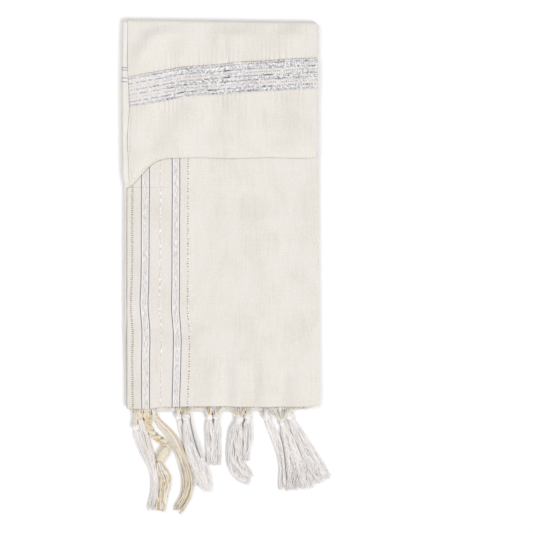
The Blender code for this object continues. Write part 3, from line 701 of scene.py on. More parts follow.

# %% [markdown]
# ## The neck leaves' finish
# The neck leaves are plain ivory cloth. At the left the lower leaf shows a little beyond the
# upper one, as a strip with painted light, paler than the rest, on which silvery and blue rows
# end. A mask that rises within a millimetre of the upper leaf's edge keeps them there.

# %% Neck cloth finish
EDGE_LINES = (57.6, 60.4, 69.9, 74.4)
EDGE_PAIRS = (59.0, 72.2)
ROW_DRIFT = 1.3
EDGE_SILVER = (0.80, 0.81, 0.86)
# Pale cream painted as light on the left strips that the leaves above keep in shade.
PAINTED_LIGHT_CREAM = (0.93, 0.915, 0.88)
ROW_SHARE = 0.7


def row_ends(finish, colour, mask, from_top):
    """The ends of two silvery strips and four blue lines, under a mask."""
    for centre in EDGE_PAIRS:
        colour = finish.mix(near(from_top, centre, 1.8, 0.3) * mask * ROW_SHARE, colour, EDGE_SILVER)
    for centre in EDGE_LINES:
        colour = finish.mix(near(from_top, centre, 0.5, 0.25) * mask * ROW_SHARE, colour, BLUE)
    return colour


def neck_finish():
    """Ivory cloth whose lower leaf shows the ends of the rows beyond the upper leaf's edge, on a strip
    of painted light.
    """
    finish = Finish("ivory_cloth")
    across, down = finish.pattern()
    colour, height = woven(finish, across, down)
    low_leaf_painted_light = 1 - across.rise(7.4, 8.0)
    # The strip of lower leaf beyond the upper one is painted lighter: painted light.
    colour = finish.mix(low_leaf_painted_light * 0.15, colour, PAINTED_LIGHT_CREAM)
    colour = row_ends(finish, colour, low_leaf_painted_light, down - ROW_DRIFT)
    return finish_cloth(finish, colour, height)


ivory_cloth = neck_finish()
print("made", ivory_cloth.name)

# %% [markdown]
# ## The neck leaves
# The top stretch turns over the stack's top edge and under it. A half turn is worked out by
# giving each point a radius from the turn's centre line, so both leaves stay the same
# thickness. The rows are closer together near the band, where the puckers need them.

# %% Build the neck leaves
TOP_COLUMNS = 210
LOW_COLUMNS = 24
LOW_LEAF_SHORT = 6.0
EDGE_CURL = 1.3
CURL_WIDE = 1.5
TURN_STEPS = 7
WRAP_STEPS = 14


def leaf_section(edges, down, columns):
    """Across and height of a folded pair's outer and inner faces, one row for each place down."""
    left_top, left_low, right = (edge_at(rows, down) for rows in edges)
    turn_at = right - TURN_RADIUS
    top = left_top + np.linspace(0, 1, columns + 1) * (turn_at - left_top)
    low = left_low + np.linspace(1, 0, LOW_COLUMNS + 1) ** 2.5 * (turn_at - left_low)
    angle = np.linspace(0, math.pi, TURN_STEPS + 2)[1:-1]
    faces = []
    for radius in (TURN_RADIUS, TURN_RADIUS - LEAF):
        turn = turn_at + radius * np.sin(angle) + 0 * top[:, :1]
        across = np.concatenate([top, turn, low], axis=1)
        up = np.concatenate([
            np.full(top.shape, TURN_RADIUS + radius),
            TURN_RADIUS + radius * np.cos(angle) + 0 * top[:, :1],
            np.full(low.shape, TURN_RADIUS - radius),
        ], axis=1)
        faces.append((across, up))
    return faces


def curl_up(across, left_top):
    """Lift of the lower leaf's open edge where it shows beyond the upper leaf."""
    return EDGE_CURL * soft_step((left_top - 0.5 - across) / CURL_WIDE)


def wrap_over(across, up, angles):
    """Points turned about a level line: down by radius times sine, up by radius times cosine."""
    radius = WRAP_RADIUS + up[:1]
    centre = WRAP_DOWN + top_edge_at(across[:1])
    return across[:1] + 0 * angles, centre - radius * np.sin(angles), WRAP_UP + radius * np.cos(angles)


def uneven_rows(stops):
    """Row places from stops of (down, spacing), each spacing kept until the next stop."""
    rows = [np.arange(low, high, gap) for (low, gap), (high, _) in zip(stops, stops[1:])]
    return np.concatenate(rows + [[stops[-1][0]]])


def neck_grids():
    """Outer and inner points of the neck leaves, and their pattern map."""
    down_rows = uneven_rows([(0, 3.4), (34, 1.25), (128, 3.2), (NECK_LENGTH, 0)])[:, None]
    share = down_rows / NECK_LENGTH
    faces = leaf_section((NECK_TOP_LEFT, NECK_LOW_LEFT, NECK_RIGHT), down_rows, TOP_COLUMNS)
    angles = np.linspace(math.pi, 0, WRAP_STEPS + 1)[:-1, None]
    grids = []
    for across, up in faces:
        start = WRAP_DOWN + top_edge_at(across)
        end = end_at(NECK_END, across)
        lower = across[:, TOP_COLUMNS + 1:]
        end[:, TOP_COLUMNS + 1:] -= 0.8 + LOW_LEAF_SHORT * soft_step((lower - 10.0) / 10.0)
        down = start + share * (end - start)
        lift = neck_height(across, down)
        lift[:, TOP_COLUMNS + 1:] = 0.0
        curl = curl_up(across[:, -LOW_COLUMNS - 1:], edge_at(NECK_TOP_LEFT, down_rows))
        lift[:, -LOW_COLUMNS - 1:] = curl * soft_step(share * 9)
        wrap_across, wrap_down, wrap_up = wrap_over(across, up, angles)
        grids.append(place(
            np.concatenate([wrap_across, across]),
            np.concatenate([wrap_down, down]),
            np.concatenate([wrap_up, NECK_BASE + up + lift])))
    turned = start[:1] - angles * (WRAP_RADIUS + LEAF_PAIR)
    pattern = [np.concatenate([wrap_across, across]), np.concatenate([turned, down])]
    return grids, np.stack(pattern, axis=-1) / UV_MM


neck_cloth = wall_piece("neck_cloth", *neck_grids(), ivory_cloth, "cloth", ("neck_fold",))

# %% [markdown]
# ## The striped front leaves
# The fringed end lies under the neck leaves and shows below them. Its pattern map carries the
# wander of the stripes: the place across, less how far the stripe has drifted there.

# %% Build the front leaves
FRONT_COLUMNS = 150
# How far down, and how far the left and the right pair of stripes have drifted there.
STRIPE_DRIFT = [
    (200, 0.0, 0.0), (290, -0.1, -0.2), (320, -0.5, -0.3), (337, -1.4, -0.4), (352, -1.3, -0.3),
    (364, -0.2, 0.5), (374, 0.7, 1.3), (388, 0.8, 1.9), (409, 0.2, 1.5), (440, 0.3, 0.5),
    (465, 0.5, -0.4),
]
DRIFT_LEFT = 25.0
DRIFT_RIGHT = 75.0


def stripe_place(across, down):
    """The stripe's own place: across, less a drift mixed from the left and right pairs'."""
    left = along_table(STRIPE_DRIFT, down, 1)
    right = along_table(STRIPE_DRIFT, down, 2)
    share = np.clip((across - DRIFT_LEFT) / (DRIFT_RIGHT - DRIFT_LEFT), -0.3, 1.3)
    fade = soft_step((130.0 - across) / 40.0)
    return across - fade * (left + share * (right - left))


def front_grids():
    """Outer and inner points of the front leaves, and their pattern map."""
    down_rows = uneven_rows([(0, 12.0), (156, 2.4), (FRONT_LENGTH, 0)])[:, None]
    share = down_rows / FRONT_LENGTH
    faces = leaf_section((FRONT_TOP_LEFT, FRONT_LOW_LEFT, FRONT_RIGHT), down_rows, FRONT_COLUMNS)
    grids = []
    for across, up in faces:
        start = WRAP_DOWN - 0.9 + top_edge_at(across)
        down = start + share * (end_at(FRONT_END, across) - start)
        lift = front_height(across, down)
        lift[:, FRONT_COLUMNS + 1:] = 0.0
        curl = curl_up(across[:, -LOW_COLUMNS - 1:], edge_at(FRONT_TOP_LEFT, down_rows))
        lift[:, -LOW_COLUMNS - 1:] = curl * soft_step((down_rows - NECK_LENGTH) / 12.0)
        grids.append(place(across, down, FRONT_BASE + up + lift))
    pattern = np.stack([stripe_place(across, down), down], axis=-1) / UV_MM
    return grids, pattern


front_cloth = wall_piece("front_cloth", *front_grids(), striped_cloth, "cloth", ("front_fold",))

# %% [markdown]
# ## The hidden layers
# Below lie two more pairs of leaves, joined by a fold at the bottom. The same U section runs
# along the table, turns up at the bottom edge, and comes back on top of itself.

# %% Edges of the layers below
UNDER_GAP = 0.3
UNDER_PAIR = (UNDER_HEIGHT - UNDER_GAP) / 2
UNDER_LEAF = 1.18
UNDER_COLUMNS = 34
UNDER_TURN = 9
UNDER_LEFT = [
    (0, 2.2), (40, 0.4), (100, 0.3), (157, 0.3), (172, 1.3), (200, 3.6), (260, 3.9), (385, 3.9),
    (430, 5.3), (472, 6.5),
]
UNDER_RIGHT = [(0, 234.4), (203, 235.3), (367, 236.5), (472, 238.2)]
UNDER_END = [(0, 471.5), (137, 471.5), (203, 470.1), (232, 466.8), (240, 466.0)]
UNDER_TOP_LEFT = [
    (0, 4.4), (40, 3.5), (157, 3.6), (200, 4.0), (385, 4.1), (430, 5.5), (472, 6.7),
]
CORNER_LEFT = 9.0
CORNER_RIGHT = 7.0
LOW_SETBACKS = (0.8, 1.6)
UPPER_TURN_SETBACK = 0.5
UPPER_START = -2.9
LEAF_CURL = 1.0
CURL_TO = 7.0
CURL_REACH = 3.0
UNDER_ROWS = 64
print("the hidden layers are", UNDER_HEIGHT, "mm high")

# %% [markdown]
# ## One section, carried down and back
# The lower and the upper run come from one function. A half turn at the bottom joins them: it
# mixes the last rows of both and swings them round the turn's centre line.

# %% Build the layers below
def under_end(across, left, right):
    """Where the stack ends, rounded at both corners by a quarter circle."""
    end = along_table(UNDER_END, across)
    for reach, size in ((across - left, CORNER_LEFT), (right - across, CORNER_RIGHT)):
        inside = np.clip(1 - reach / size, 0.0, 1.0)
        end = end - size * 0.8 * (1 - np.sqrt(1 - inside ** 2))
    return end


def under_run(upper, radius, half_turn):
    """One run of the lower leaves: across, down and up of its section, and where its end turns."""
    run = np.linspace(0, 1, UNDER_ROWS)[:, None]
    nominal = run * UNDER_LENGTH
    left = edge_at(UNDER_LEFT, nominal)
    right = edge_at(UNDER_RIGHT, nominal)
    first_left = edge_at(UNDER_TOP_LEFT, nominal) if upper else left + LOW_SETBACKS[0]
    second_left = left if upper else left + LOW_SETBACKS[1]
    turn_at = right - half_turn - (UPPER_TURN_SETBACK if upper else 0.0)
    spread = np.linspace(0, 1, UNDER_COLUMNS + 1) ** 1.6
    angle = np.linspace(0, math.pi, UNDER_TURN + 2)[1:-1]
    first = first_left + spread * (turn_at - first_left)
    second = second_left + spread[::-1] * (turn_at - second_left)
    across = np.concatenate([first, turn_at + radius * np.sin(angle) + 0 * first[:, :1], second], axis=1)
    height = np.concatenate([
        np.full(first.shape, half_turn - radius),
        half_turn - radius * np.cos(angle) + 0 * first[:, :1],
        np.full(second.shape, half_turn + radius),
    ], axis=1)
    start = WRAP_DOWN + 0.5 + top_edge_at(across) + (UPPER_START if upper else 0.0)
    centre = under_end(across, left, right) - UNDER_PAIR - UNDER_GAP / 2
    down = start + run * (centre - start)
    up = height
    if upper:
        up = UNDER_HEIGHT - height
        up[:, :UNDER_COLUMNS + 1] += LEAF_CURL * soft_step((CURL_TO - first) / CURL_REACH)
    return across, down, up, centre


def under_grids():
    """Outer and inner points of the layers below, run by run, and their pattern map."""
    half_turn = UNDER_PAIR / 2
    spin = np.linspace(0, math.pi, UNDER_TURN + 2)[1:-1, None]
    share = spin / math.pi
    grids = []
    for radius in (half_turn, half_turn - UNDER_LEAF):
        across, down, up, centre = under_run(False, radius, half_turn)
        back_across, back_down, back_up, back_centre = under_run(True, radius, half_turn)
        turn_across = across[-1:] * (1 - share) + back_across[-1:] * share
        distance = UNDER_HEIGHT / 2 - up[-1:]
        turn_centre = centre[-1:] * (1 - share) + back_centre[-1:] * share
        turn_down = turn_centre + distance * np.sin(spin)
        turn_up = UNDER_HEIGHT / 2 - distance * np.cos(spin)
        whole_across = np.concatenate([across, turn_across, back_across[::-1]])
        grids.append(place(
            whole_across,
            np.concatenate([down, turn_down, back_down[::-1]]),
            np.concatenate([up, turn_up, back_up[::-1]])))
    pattern_down = np.concatenate([down, turn_down, 2 * UNDER_LENGTH - back_down[::-1]])
    return grids, np.stack([whole_across, pattern_down], axis=-1) / UV_MM


def lower_finish():
    """Ivory cloth with painted light on its left edge strip, and row ends where its far stretch meets
    the left edge.
    """
    finish = Finish("lower_cloth")
    across, down = finish.pattern()
    colour, height = woven(finish, across, down)
    edge_strip_painted_light = 1 - across.rise(4.5, 8.0)
    # The left edge strip is painted lighter: painted light.
    colour = finish.mix(edge_strip_painted_light * 0.8, colour, PAINTED_LIGHT_CREAM)
    colour = row_ends(finish, colour, edge_strip_painted_light, 2 * UNDER_LENGTH - down)
    return finish_cloth(finish, colour, height)


under_cloth = wall_piece("under_cloth", *under_grids(), lower_finish(), "cloth", ("under_layers",))

# %% [markdown]
# ## The neckband's weave
# The band is a separate strip of cream and silver weave. The pattern is laid in rows: silvery
# zones with dark runs, cream zones between them with rows of ochre stitches, and broken blue
# lines at the edges of the silvery zones. Cells of chance numbers give each dash its own tone.

# %% Neckband finish
BAND_CREAM = (0.76, 0.72, 0.68)
BAND_SILVER = (0.70, 0.68, 0.68)
BAND_DARK = (0.11, 0.10, 0.11)
BAND_BLUE = (0.22, 0.225, 0.32)
BAND_OCHRE = (0.33, 0.26, 0.17)
# White for pale specks, and for painted glints on the silver.
BAND_WHITE_AND_GLINT = (0.95, 0.95, 0.96)
BAND_WIDE = 36.0
BAND_PAIRS = ((0.085, 0.25), (0.47, 0.61), (0.84, 0.955))
BAND_OCHRE_ROWS = (0.02, 0.36, 0.72)
OCHRE_STITCH = 2.6
DASH = 1.15
ROW = 0.85


def band_finish():
    """Silvery zones with dark runs and painted glints between broken blue lines, and rows of ochre
    stitches.
    """
    finish = Finish("silver_band")
    along, across = finish.pattern()
    sway = finish.noise(along * 0.03, 3.0, 1.0) * 0.04 - 0.02
    share = across * UV_SHARE + sway
    rows = share * (BAND_WIDE / ROW)
    gain = along.rise(4.0, 75.0) * (1 - 0.35 * along.rise(215.0, 235.0))
    shifted = along / DASH + finish.dice(rows, 1.0) * 7.0
    speck = finish.dice(shifted, rows, 1.0)
    second = finish.dice(shifted * 0.5, rows, 2.0)
    grain = finish.noise(along * 0.8, rows * 1.1, 2.0, detail=3.0)
    zone = None
    for low, high in BAND_PAIRS:
        part = near(share, (low + high) / 2, (high - low) / 2, 0.03)
        zone = part if zone is None else zone.at_least(part)
    spread = finish.noise(along * 0.02, rows * 0.05, 8.0).rise(0.4, 0.62)
    silver = (zone * (0.45 + 0.55 * gain)).at_least(gain * (0.35 + 0.4 * spread))
    colour = finish.mix(silver, BAND_CREAM, BAND_SILVER)
    # Painted glints: white on the silvery zones where the grain is high.
    colour = finish.mix(grain.rise(0.5, 0.68) * 0.5 * silver, colour, BAND_WHITE_AND_GLINT)
    dark = silver * speck.rise(0.76, 0.84) * (0.2 + 0.5 * gain)
    colour = finish.mix(dark, colour, BAND_DARK)
    # White specks: pale ones in the cream, and painted glints on the silver.
    colour = finish.mix((1 - speck.rise(0.16, 0.24)) * (0.25 + 0.6 * silver), colour, BAND_WHITE_AND_GLINT)
    for number, centre in enumerate(BAND_OCHRE_ROWS):
        stitch = (along * (TAU / OCHRE_STITCH)).sine().rise(-0.1, 0.5)
        kept = finish.dice(along / (2 * OCHRE_STITCH), number * 3.0 + 1.0, 3.0).rise(0.15, 0.3)
        row = near(share, centre, 0.018, 0.01) * stitch * kept * (0.35 + 0.5 * gain)
        colour = finish.mix(row, colour, BAND_OCHRE)
    height = grain * 0.8 + speck * 0.7 + zone * 0.3
    for number, centre in enumerate([line for pair in BAND_PAIRS for line in pair]):
        wobble = finish.noise(along * 0.09, number * 4.0, 5.0) * 0.03 - 0.015
        broken = finish.dice(along / DASH, number * 3.0, 2.0).rise(0.3, 0.36)
        line = near(share + wobble, centre, 0.019, 0.009) * broken
        runs = finish.noise(along * 0.06, number * 6.0, 7.0).rise(0.5, 0.6) * gain
        tone = finish.mix(runs, BAND_BLUE, BAND_DARK)
        colour = finish.mix(line * (0.55 + 0.35 * runs), colour, tone)
        wide = near(share + wobble, centre, 0.036, 0.018) * runs * second.rise(0.4, 0.55)
        colour = finish.mix(wide * 0.5, colour, BAND_DARK)
        height = height + line * 0.5
    return finish.set(
        BaseColor=colour, Roughness=0.62 - silver * 0.2, Metallic=silver * 0.15, SheenWeight=0.1,
        SpecularIORLevel=0.35, Normal=finish.bump(height, 0.00045, 0.7))


band_weave = band_finish()
print("made", band_weave.name)

# %% [markdown]
# ## The neckband
# The band is sewn down along both its edges, so its mesh is the neck leaf's own surface
# between two edges, moved out. That way it follows every pucker, and turns round the fold.

# %% Build the neckband
BAND_COLUMNS = 250
BAND_ROWS = 26
BAND_THICK = 0.5
BAND_TURN = math.radians(100)


def band_grids():
    """Outer and inner points of the band over the neck leaf and round its fold."""
    share = np.linspace(0, 1, BAND_ROWS + 1)[:, None]
    turn_at = edge_at(NECK_RIGHT, 65.0) - TURN_RADIUS
    left = edge_at(NECK_TOP_LEFT, 69.0 + share * 35.0) + 0.25
    flat = left + np.linspace(0, 1, BAND_COLUMNS + 1) * (turn_at - left)
    angle = np.concatenate([np.zeros(BAND_COLUMNS + 1), np.linspace(0, BAND_TURN, TURN_STEPS + 1)[1:]])
    across = np.concatenate([flat, np.full((BAND_ROWS + 1, TURN_STEPS), turn_at)], axis=1)
    down = band_upper(across) + share * (band_lower(across) - band_upper(across))
    lift = neck_height(across, down)
    edge_dip = 0.25 * (np.exp(-share * 18) + np.exp(-(1 - share) * 18))
    grids = []
    for out in (SEAM_GAP + BAND_THICK, SEAM_GAP):
        thickness = out - (edge_dip if out > SEAM_GAP else 0.0)
        radius = TURN_RADIUS + thickness
        grids.append(place(
            across + radius * np.sin(angle), down,
            NECK_BASE + TURN_RADIUS + lift + radius * np.cos(angle)))
    travel = across + angle * TURN_RADIUS
    return grids, np.stack([travel / UV_MM, share + 0 * across], axis=-1)


neckband_cloth = wall_piece("neckband_cloth", *band_grids(), band_weave, "neckband", ("neckband",))

# %% [markdown]
# ## Yarn
# A tassel is many loose yarns. Each yarn is a thin tube along a path, and all the tubes of a
# tassel are worked out at once as one array: yarn by station by side. Bevelled curves could
# do it too, but the array stays quick and gives every yarn its own place in the pattern map.

# %% Tubes along many paths
YARN_SIDES = 6
UV_ROUND = 0.96
UV_LENGTH = 10 * MM
KIND_STEP = 1000
UPWARDS = np.array([0.0, 0.0, 1.0])
WHITE, CREAM, OCHRE, METAL = range(4)


def unit(vectors):
    """Vectors of length one."""
    return vectors / np.maximum(np.linalg.norm(vectors, axis=-1, keepdims=True), 1e-12)


def aside_of(line):
    """The direction square to a path in plan, for rows of across and down."""
    ahead = np.gradient(line[..., :2], axis=-2)
    return unit(np.stack([-ahead[..., 1], ahead[..., 0]], axis=-1))


def tube_arrays(paths, radius, numbers, reference=UPWARDS):
    """Points, faces and corner UVs of closed tubes: a ring square to each path's direction."""
    yarns, stations = paths.shape[:2]
    sides = YARN_SIDES
    radius = np.broadcast_to(np.multiply(radius, MM), paths.shape[:2])
    ahead = unit(np.gradient(paths, axis=1))
    side = unit(np.cross(ahead, reference))
    rise = np.cross(side, ahead)
    turn = (np.arange(sides) + 0.5) * TAU / sides
    ring = np.cos(turn)[:, None] * side[:, :, None] + np.sin(turn)[:, None] * rise[:, :, None]
    points = paths[:, :, None] + radius[..., None, None] * ring
    index = np.arange(points[..., 0].size).reshape(yarns, stations, sides)
    beside = np.roll(index, -1, axis=2)
    walls = np.stack([index[:, :-1], beside[:, :-1], beside[:, 1:], index[:, 1:]], axis=-1)
    cap = np.array([[0, corner + 2, corner + 1, corner] for corner in range(1, sides - 2, 2)])
    first = index[:, 0][:, cap]
    last = index[:, -1][:, cap[:, ::-1]]
    quads = np.concatenate([walls.reshape(-1, 4), first.reshape(-1, 4), last.reshape(-1, 4)])
    length = np.linalg.norm(np.diff(paths, axis=1), axis=2).cumsum(axis=1)
    length = np.concatenate([np.zeros((yarns, 1)), length], axis=1) / UV_LENGTH
    shape = (yarns, stations - 1, sides)
    left = np.broadcast_to(numbers[:, None, None] + np.arange(sides) / sides * UV_ROUND, shape)
    right = left + UV_ROUND / sides
    low = np.broadcast_to(length[:, :-1, None], shape)
    high = np.broadcast_to(length[:, 1:, None], shape)
    corners = [(left, low), (right, low), (right, high), (left, high)]
    uv = np.stack([np.stack(corner, axis=-1) for corner in corners], axis=-2).reshape(-1, 2)
    cap_number = np.repeat(numbers + 0.5, 4 * len(cap))
    caps = np.stack([cap_number, 0 * cap_number], axis=-1)
    return points.reshape(-1, 3), quads, np.concatenate([uv, caps, caps])


def join_arrays(parts):
    """Several sets of points, faces and UVs as one."""
    offset = np.cumsum([0] + [len(points) for points, _, _ in parts])
    points = np.concatenate([part[0] for part in parts])
    quads = np.concatenate([part[1] + start for part, start in zip(parts, offset)])
    return points, quads, np.concatenate([part[2] for part in parts])


def yarn_numbers(count, shares, rng):
    """A number for each yarn: its place in the count, plus a thousand for each step of kind."""
    kinds = rng.choice(len(shares), count, p=shares)
    return np.arange(count) + KIND_STEP * kinds.astype(float)


print("a yarn has", YARN_SIDES, "sides")

# %% [markdown]
# ## One finish for every yarn
# The pattern map gives each yarn its own number, which picks its kind and its own tone, and the
# way along and round it, for its twist and the painted shade in its grooves. So white, cream,
# ochre and metal yarns share a material.

# %% Yarn finish
YARN_TONES = [
    ((0.93, 0.90, 0.885), (0.79, 0.72, 0.665)),
    ((0.85, 0.775, 0.65), (0.70, 0.56, 0.37)),
    ((0.72, 0.57, 0.30), (0.54, 0.38, 0.15)),
    ((0.34, 0.31, 0.32), (0.10, 0.09, 0.10)),
]
TWIST = 4.0


def yarn_finish():
    """Soft yarn: the number gives its kind and its own tone, and slanting plies run round it with
    painted shade in their grooves.
    """
    finish = Finish("soft_yarn")
    number, length = finish.parts()
    own = finish.dice(number, 1.0)
    patch = finish.noise(number * 3.7, length * 0.4, 1.0)
    ply = ((number - number.whole() + length * TWIST) * (2 * TAU)).sine()
    pale, deep = YARN_TONES[WHITE]
    for kind in (CREAM, OCHRE, METAL):
        is_kind = number.rise(kind * KIND_STEP - 1, kind * KIND_STEP - 0.5)
        pale = finish.mix(is_kind, pale, YARN_TONES[kind][0])
        deep = finish.mix(is_kind, deep, YARN_TONES[kind][1])
    tone_and_groove_shade = own.rise(0.55, 1.0) * 0.4 + patch.rise(0.5, 0.8) * 0.35
    # Painted shade in the grooves between the plies.
    tone_and_groove_shade = tone_and_groove_shade + (1 - ply.rise(-1.0, 0.2)) * 0.14
    return finish.set(
        BaseColor=finish.mix(tone_and_groove_shade.at_most(1.0), pale, deep), Roughness=0.85, SheenWeight=0.3,
        SheenRoughness=0.4, SpecularIORLevel=0.3, Normal=finish.bump(ply, 0.0001, 0.6))


soft_yarn = yarn_finish()
print("made", soft_yarn.name)

# %% [markdown]
# ## The tassels
# Hem threads fan together under the hem, cross in a knot, and hang below it as a bundle of
# locks. A table gives each bundle its root, its knot, its number of yarns, and the places and
# half widths of its tail.

# %% Tassel table
Tassel = namedtuple("Tassel", "name root fan lanes knot radius yarns lift thick kinds tail")

# A tail's rows are millimetres across and down, and its half width there.
PLAIN_WHITE = (1.0, 0.0, 0.0)
WHITE_MIX = (0.84, 0.10, 0.06)
CREAM_MIX = (0.30, 0.51, 0.19)
ROOT_UP = 7.1
TASSELS = [
    Tassel("tassel_a", 20.4, 3.0, 4, (21.4, 476.4), 4.6, 84, 0.3, 2.7, WHITE_MIX, [
        (25.4, 490.0, 4.6), (29.0, 503.0, 4.8), (34.0, 522.0, 4.4), (40.6, 544.8, 3.5),
        (41.8, 565.2, 3.1), (38.6, 588.0, 3.3),
    ]),
    Tassel("tassel_a", 18.0, 1.6, 3, (17.2, 490.2), 4.2, 64, 0.3, 2.5, PLAIN_WHITE, [
        (18.8, 499.0, 3.5), (23.0, 509.0, 4.2), (29.4, 524.4, 4.2), (37.4, 544.8, 3.3),
        (38.6, 565.2, 2.9), (34.0, 587.0, 3.2),
    ]),
    Tassel("tzitzit_strings", 39.2, 3.0, 5, (39.8, 478.0), 4.2, 150, 0.3, 3.2, CREAM_MIX, [
        (48.8, 488.4, 5.0), (58.6, 499.0, 5.6), (66.0, 510.4, 6.0), (72.2, 524.4, 6.0),
        (77.8, 541.2, 6.2), (80.2, 558.0, 6.0), (77.4, 573.6, 5.8), (69.6, 587.5, 5.6),
    ]),
    Tassel("tassel_b", 68.8, 3.4, 4, (68.6, 477.2), 4.0, 64, 0.3, 1.5, PLAIN_WHITE, [
        (71.8, 490.8, 3.2), (75.0, 502.8, 3.0), (82.0, 519.6, 3.2), (87.4, 540.0, 3.3),
        (90.4, 558.0, 3.0),
    ]),
    Tassel("tassel_c", 78.4, 4.0, 4, (78.2, 477.2), 4.7, 150, 3.3, 2.6, PLAIN_WHITE, [
        (79.9, 490.8, 5.2), (83.4, 507.6, 7.4), (88.8, 524.4, 8.8), (94.8, 541.2, 8.8),
        (103.2, 562.4, 7.0),
    ]),
    Tassel("tassel_d", 104.4, 8.4, 5, (105.6, 478.0), 4.2, 90, 0.3, 2.9, PLAIN_WHITE, [
        (106.4, 493.2, 4.9), (106.8, 511.2, 4.8), (108.4, 533.8, 4.0),
    ]),
    Tassel("tassel_e", 117.4, 5.6, 4, (114.6, 477.4), 4.1, 80, 0.3, 2.8, PLAIN_WHITE, [
        (115.0, 493.2, 4.6), (115.2, 511.2, 4.3), (115.2, 534.6, 4.0),
    ]),
    Tassel("tassel_f", 138.6, 15.0, 8, (141.8, 480.6), 4.6, 170, 0.3, 3.3, PLAIN_WHITE, [
        (139.4, 490.0, 6.4), (137.2, 501.6, 8.4), (136.4, 518.4, 9.4), (137.4, 532.8, 9.8),
        (142.6, 545.0, 9.4), (152.6, 551.4, 7.8),
    ]),
    Tassel("tassel_g", 152.6, 3.8, 4, (152.4, 476.8), 4.4, 96, 0.3, 2.9, PLAIN_WHITE, [
        (152.0, 490.8, 5.0), (151.5, 505.2, 5.0), (150.8, 517.2, 4.3), (150.2, 529.0, 3.4),
    ]),
    Tassel("tassel_h", 174.2, 3.5, 4, (174.6, 477.4), 4.9, 96, 0.3, 2.6, PLAIN_WHITE, [
        (179.8, 490.8, 4.3), (187.2, 505.2, 4.4), (191.4, 520.8, 4.0), (193.4, 538.8, 3.8),
        (193.2, 562.4, 3.8),
    ]),
    Tassel("tassel_j", 187.4, 16.0, 9, (193.4, 486.0), 3.6, 210, 0.3, 3.4, PLAIN_WHITE, [
        (198.6, 499.2, 6.4), (203.4, 516.0, 8.6), (209.0, 536.4, 12.0), (212.8, 562.4, 15.2),
    ]),
    Tassel("tassel_k", 202.2, 3.6, 4, (202.0, 476.4), 4.9, 150, 0.3, 3.1, PLAIN_WHITE, [
        (210.2, 493.2, 6.2), (220.0, 511.2, 7.4), (230.6, 529.2, 8.6), (241.8, 552.0, 10.0),
    ]),
]
print(len(TASSELS), "bundles with", sum(tassel.yarns for tassel in TASSELS), "yarns")

# %% [markdown]
# ## How a yarn runs
# A tail is one smooth curve. Its yarns fill a round section in locks: each lock twists and
# wanders a little, and each yarn turns within its lock, so the bundle looks combed, not cut.

# %% Smooth curves and spots
LOCK_YARNS = 8


def smooth_curve(rows, shares):
    """Rows joined by a curve whose slope at a row runs between its neighbours, by share of length."""
    padded = np.vstack([2 * rows[0] - rows[1], rows, 2 * rows[-1] - rows[-2]])
    a, b, c, d = (padded[i:len(padded) - 3 + i, None] for i in range(4))
    t = np.linspace(0, 1, 16, endpoint=False)[:, None]
    curve = 0.5 * (2 * b + (c - a) * t + (2 * a - 5 * b + 4 * c - d) * t ** 2
                   + (3 * b - a - 3 * c + d) * t ** 3)
    curve = np.vstack([curve.reshape(-1, rows.shape[1]), rows[-1:]])
    length = np.concatenate([[0], np.cumsum(np.hypot(*np.diff(curve[:, :2], axis=0).T))])
    wanted = np.asarray(shares) * length[-1]
    return np.stack([np.interp(wanted, length, column) for column in curve.T], axis=-1), length[-1]


def disc_spots(count, rng):
    """Spots spread evenly over a disc of radius 1, as seeds in a sunflower."""
    number = np.arange(count) + 0.5
    radius = np.sqrt(number / count)
    angle = number * math.pi * (3 - math.sqrt(5)) + rng.uniform(0, TAU)
    return np.stack([radius * np.cos(angle), radius * np.sin(angle)], axis=-1)


def lock_spots(count, share, rng):
    """Each yarn's spot in the bundle's round section: its lock's wander plus its own circling."""
    locks = max(3, round(count / LOCK_YARNS))
    lock_of = np.arange(count) % locks
    phase = rng.uniform(0, TAU, (locks, 5))
    sideways = 0.20 * np.sin(TAU * 1.1 * share + phase[:, :1])
    sideways = sideways + 0.12 * np.sin(TAU * 2.6 * share + phase[:, 1:2])
    upwards = 0.15 * np.sin(TAU * 0.9 * share + phase[:, 2:3])
    wander = np.stack([sideways, upwards], axis=-1) * share[:, None]
    inner = disc_spots(count, rng)[rng.permutation(count)] * (1.0 / math.sqrt(locks))
    twist = (phase[:, 3:4] + TAU * share * rng.uniform(0.6, 1.6, (locks, 1)))[lock_of]
    circling = np.stack([
        inner[:, :1] * np.cos(twist) - inner[:, 1:] * np.sin(twist),
        inner[:, :1] * np.sin(twist) + inner[:, 1:] * np.cos(twist),
    ], axis=-1)
    spots = (disc_spots(locks, rng) * 0.86)[lock_of][:, None] + wander[lock_of] + circling
    spots[..., 0] = np.sign(spots[..., 0]) * np.abs(spots[..., 0]) ** 0.8 * 1.04
    return spots, 0.5 + 0.5 * np.sin(phase[lock_of, 4:])


print("a lock holds about", LOCK_YARNS, "yarns")

# %% [markdown]
# ## From spots to paths
# A bundle's centre line carries its own half width and half height, so a yarn's path is the
# line plus its spot times those two. Yarns start in a level row of lanes and fray at the end.

# %% Paths of the yarns
YARN_RADIUS = 0.38
TABLE_CLEAR = 0.12


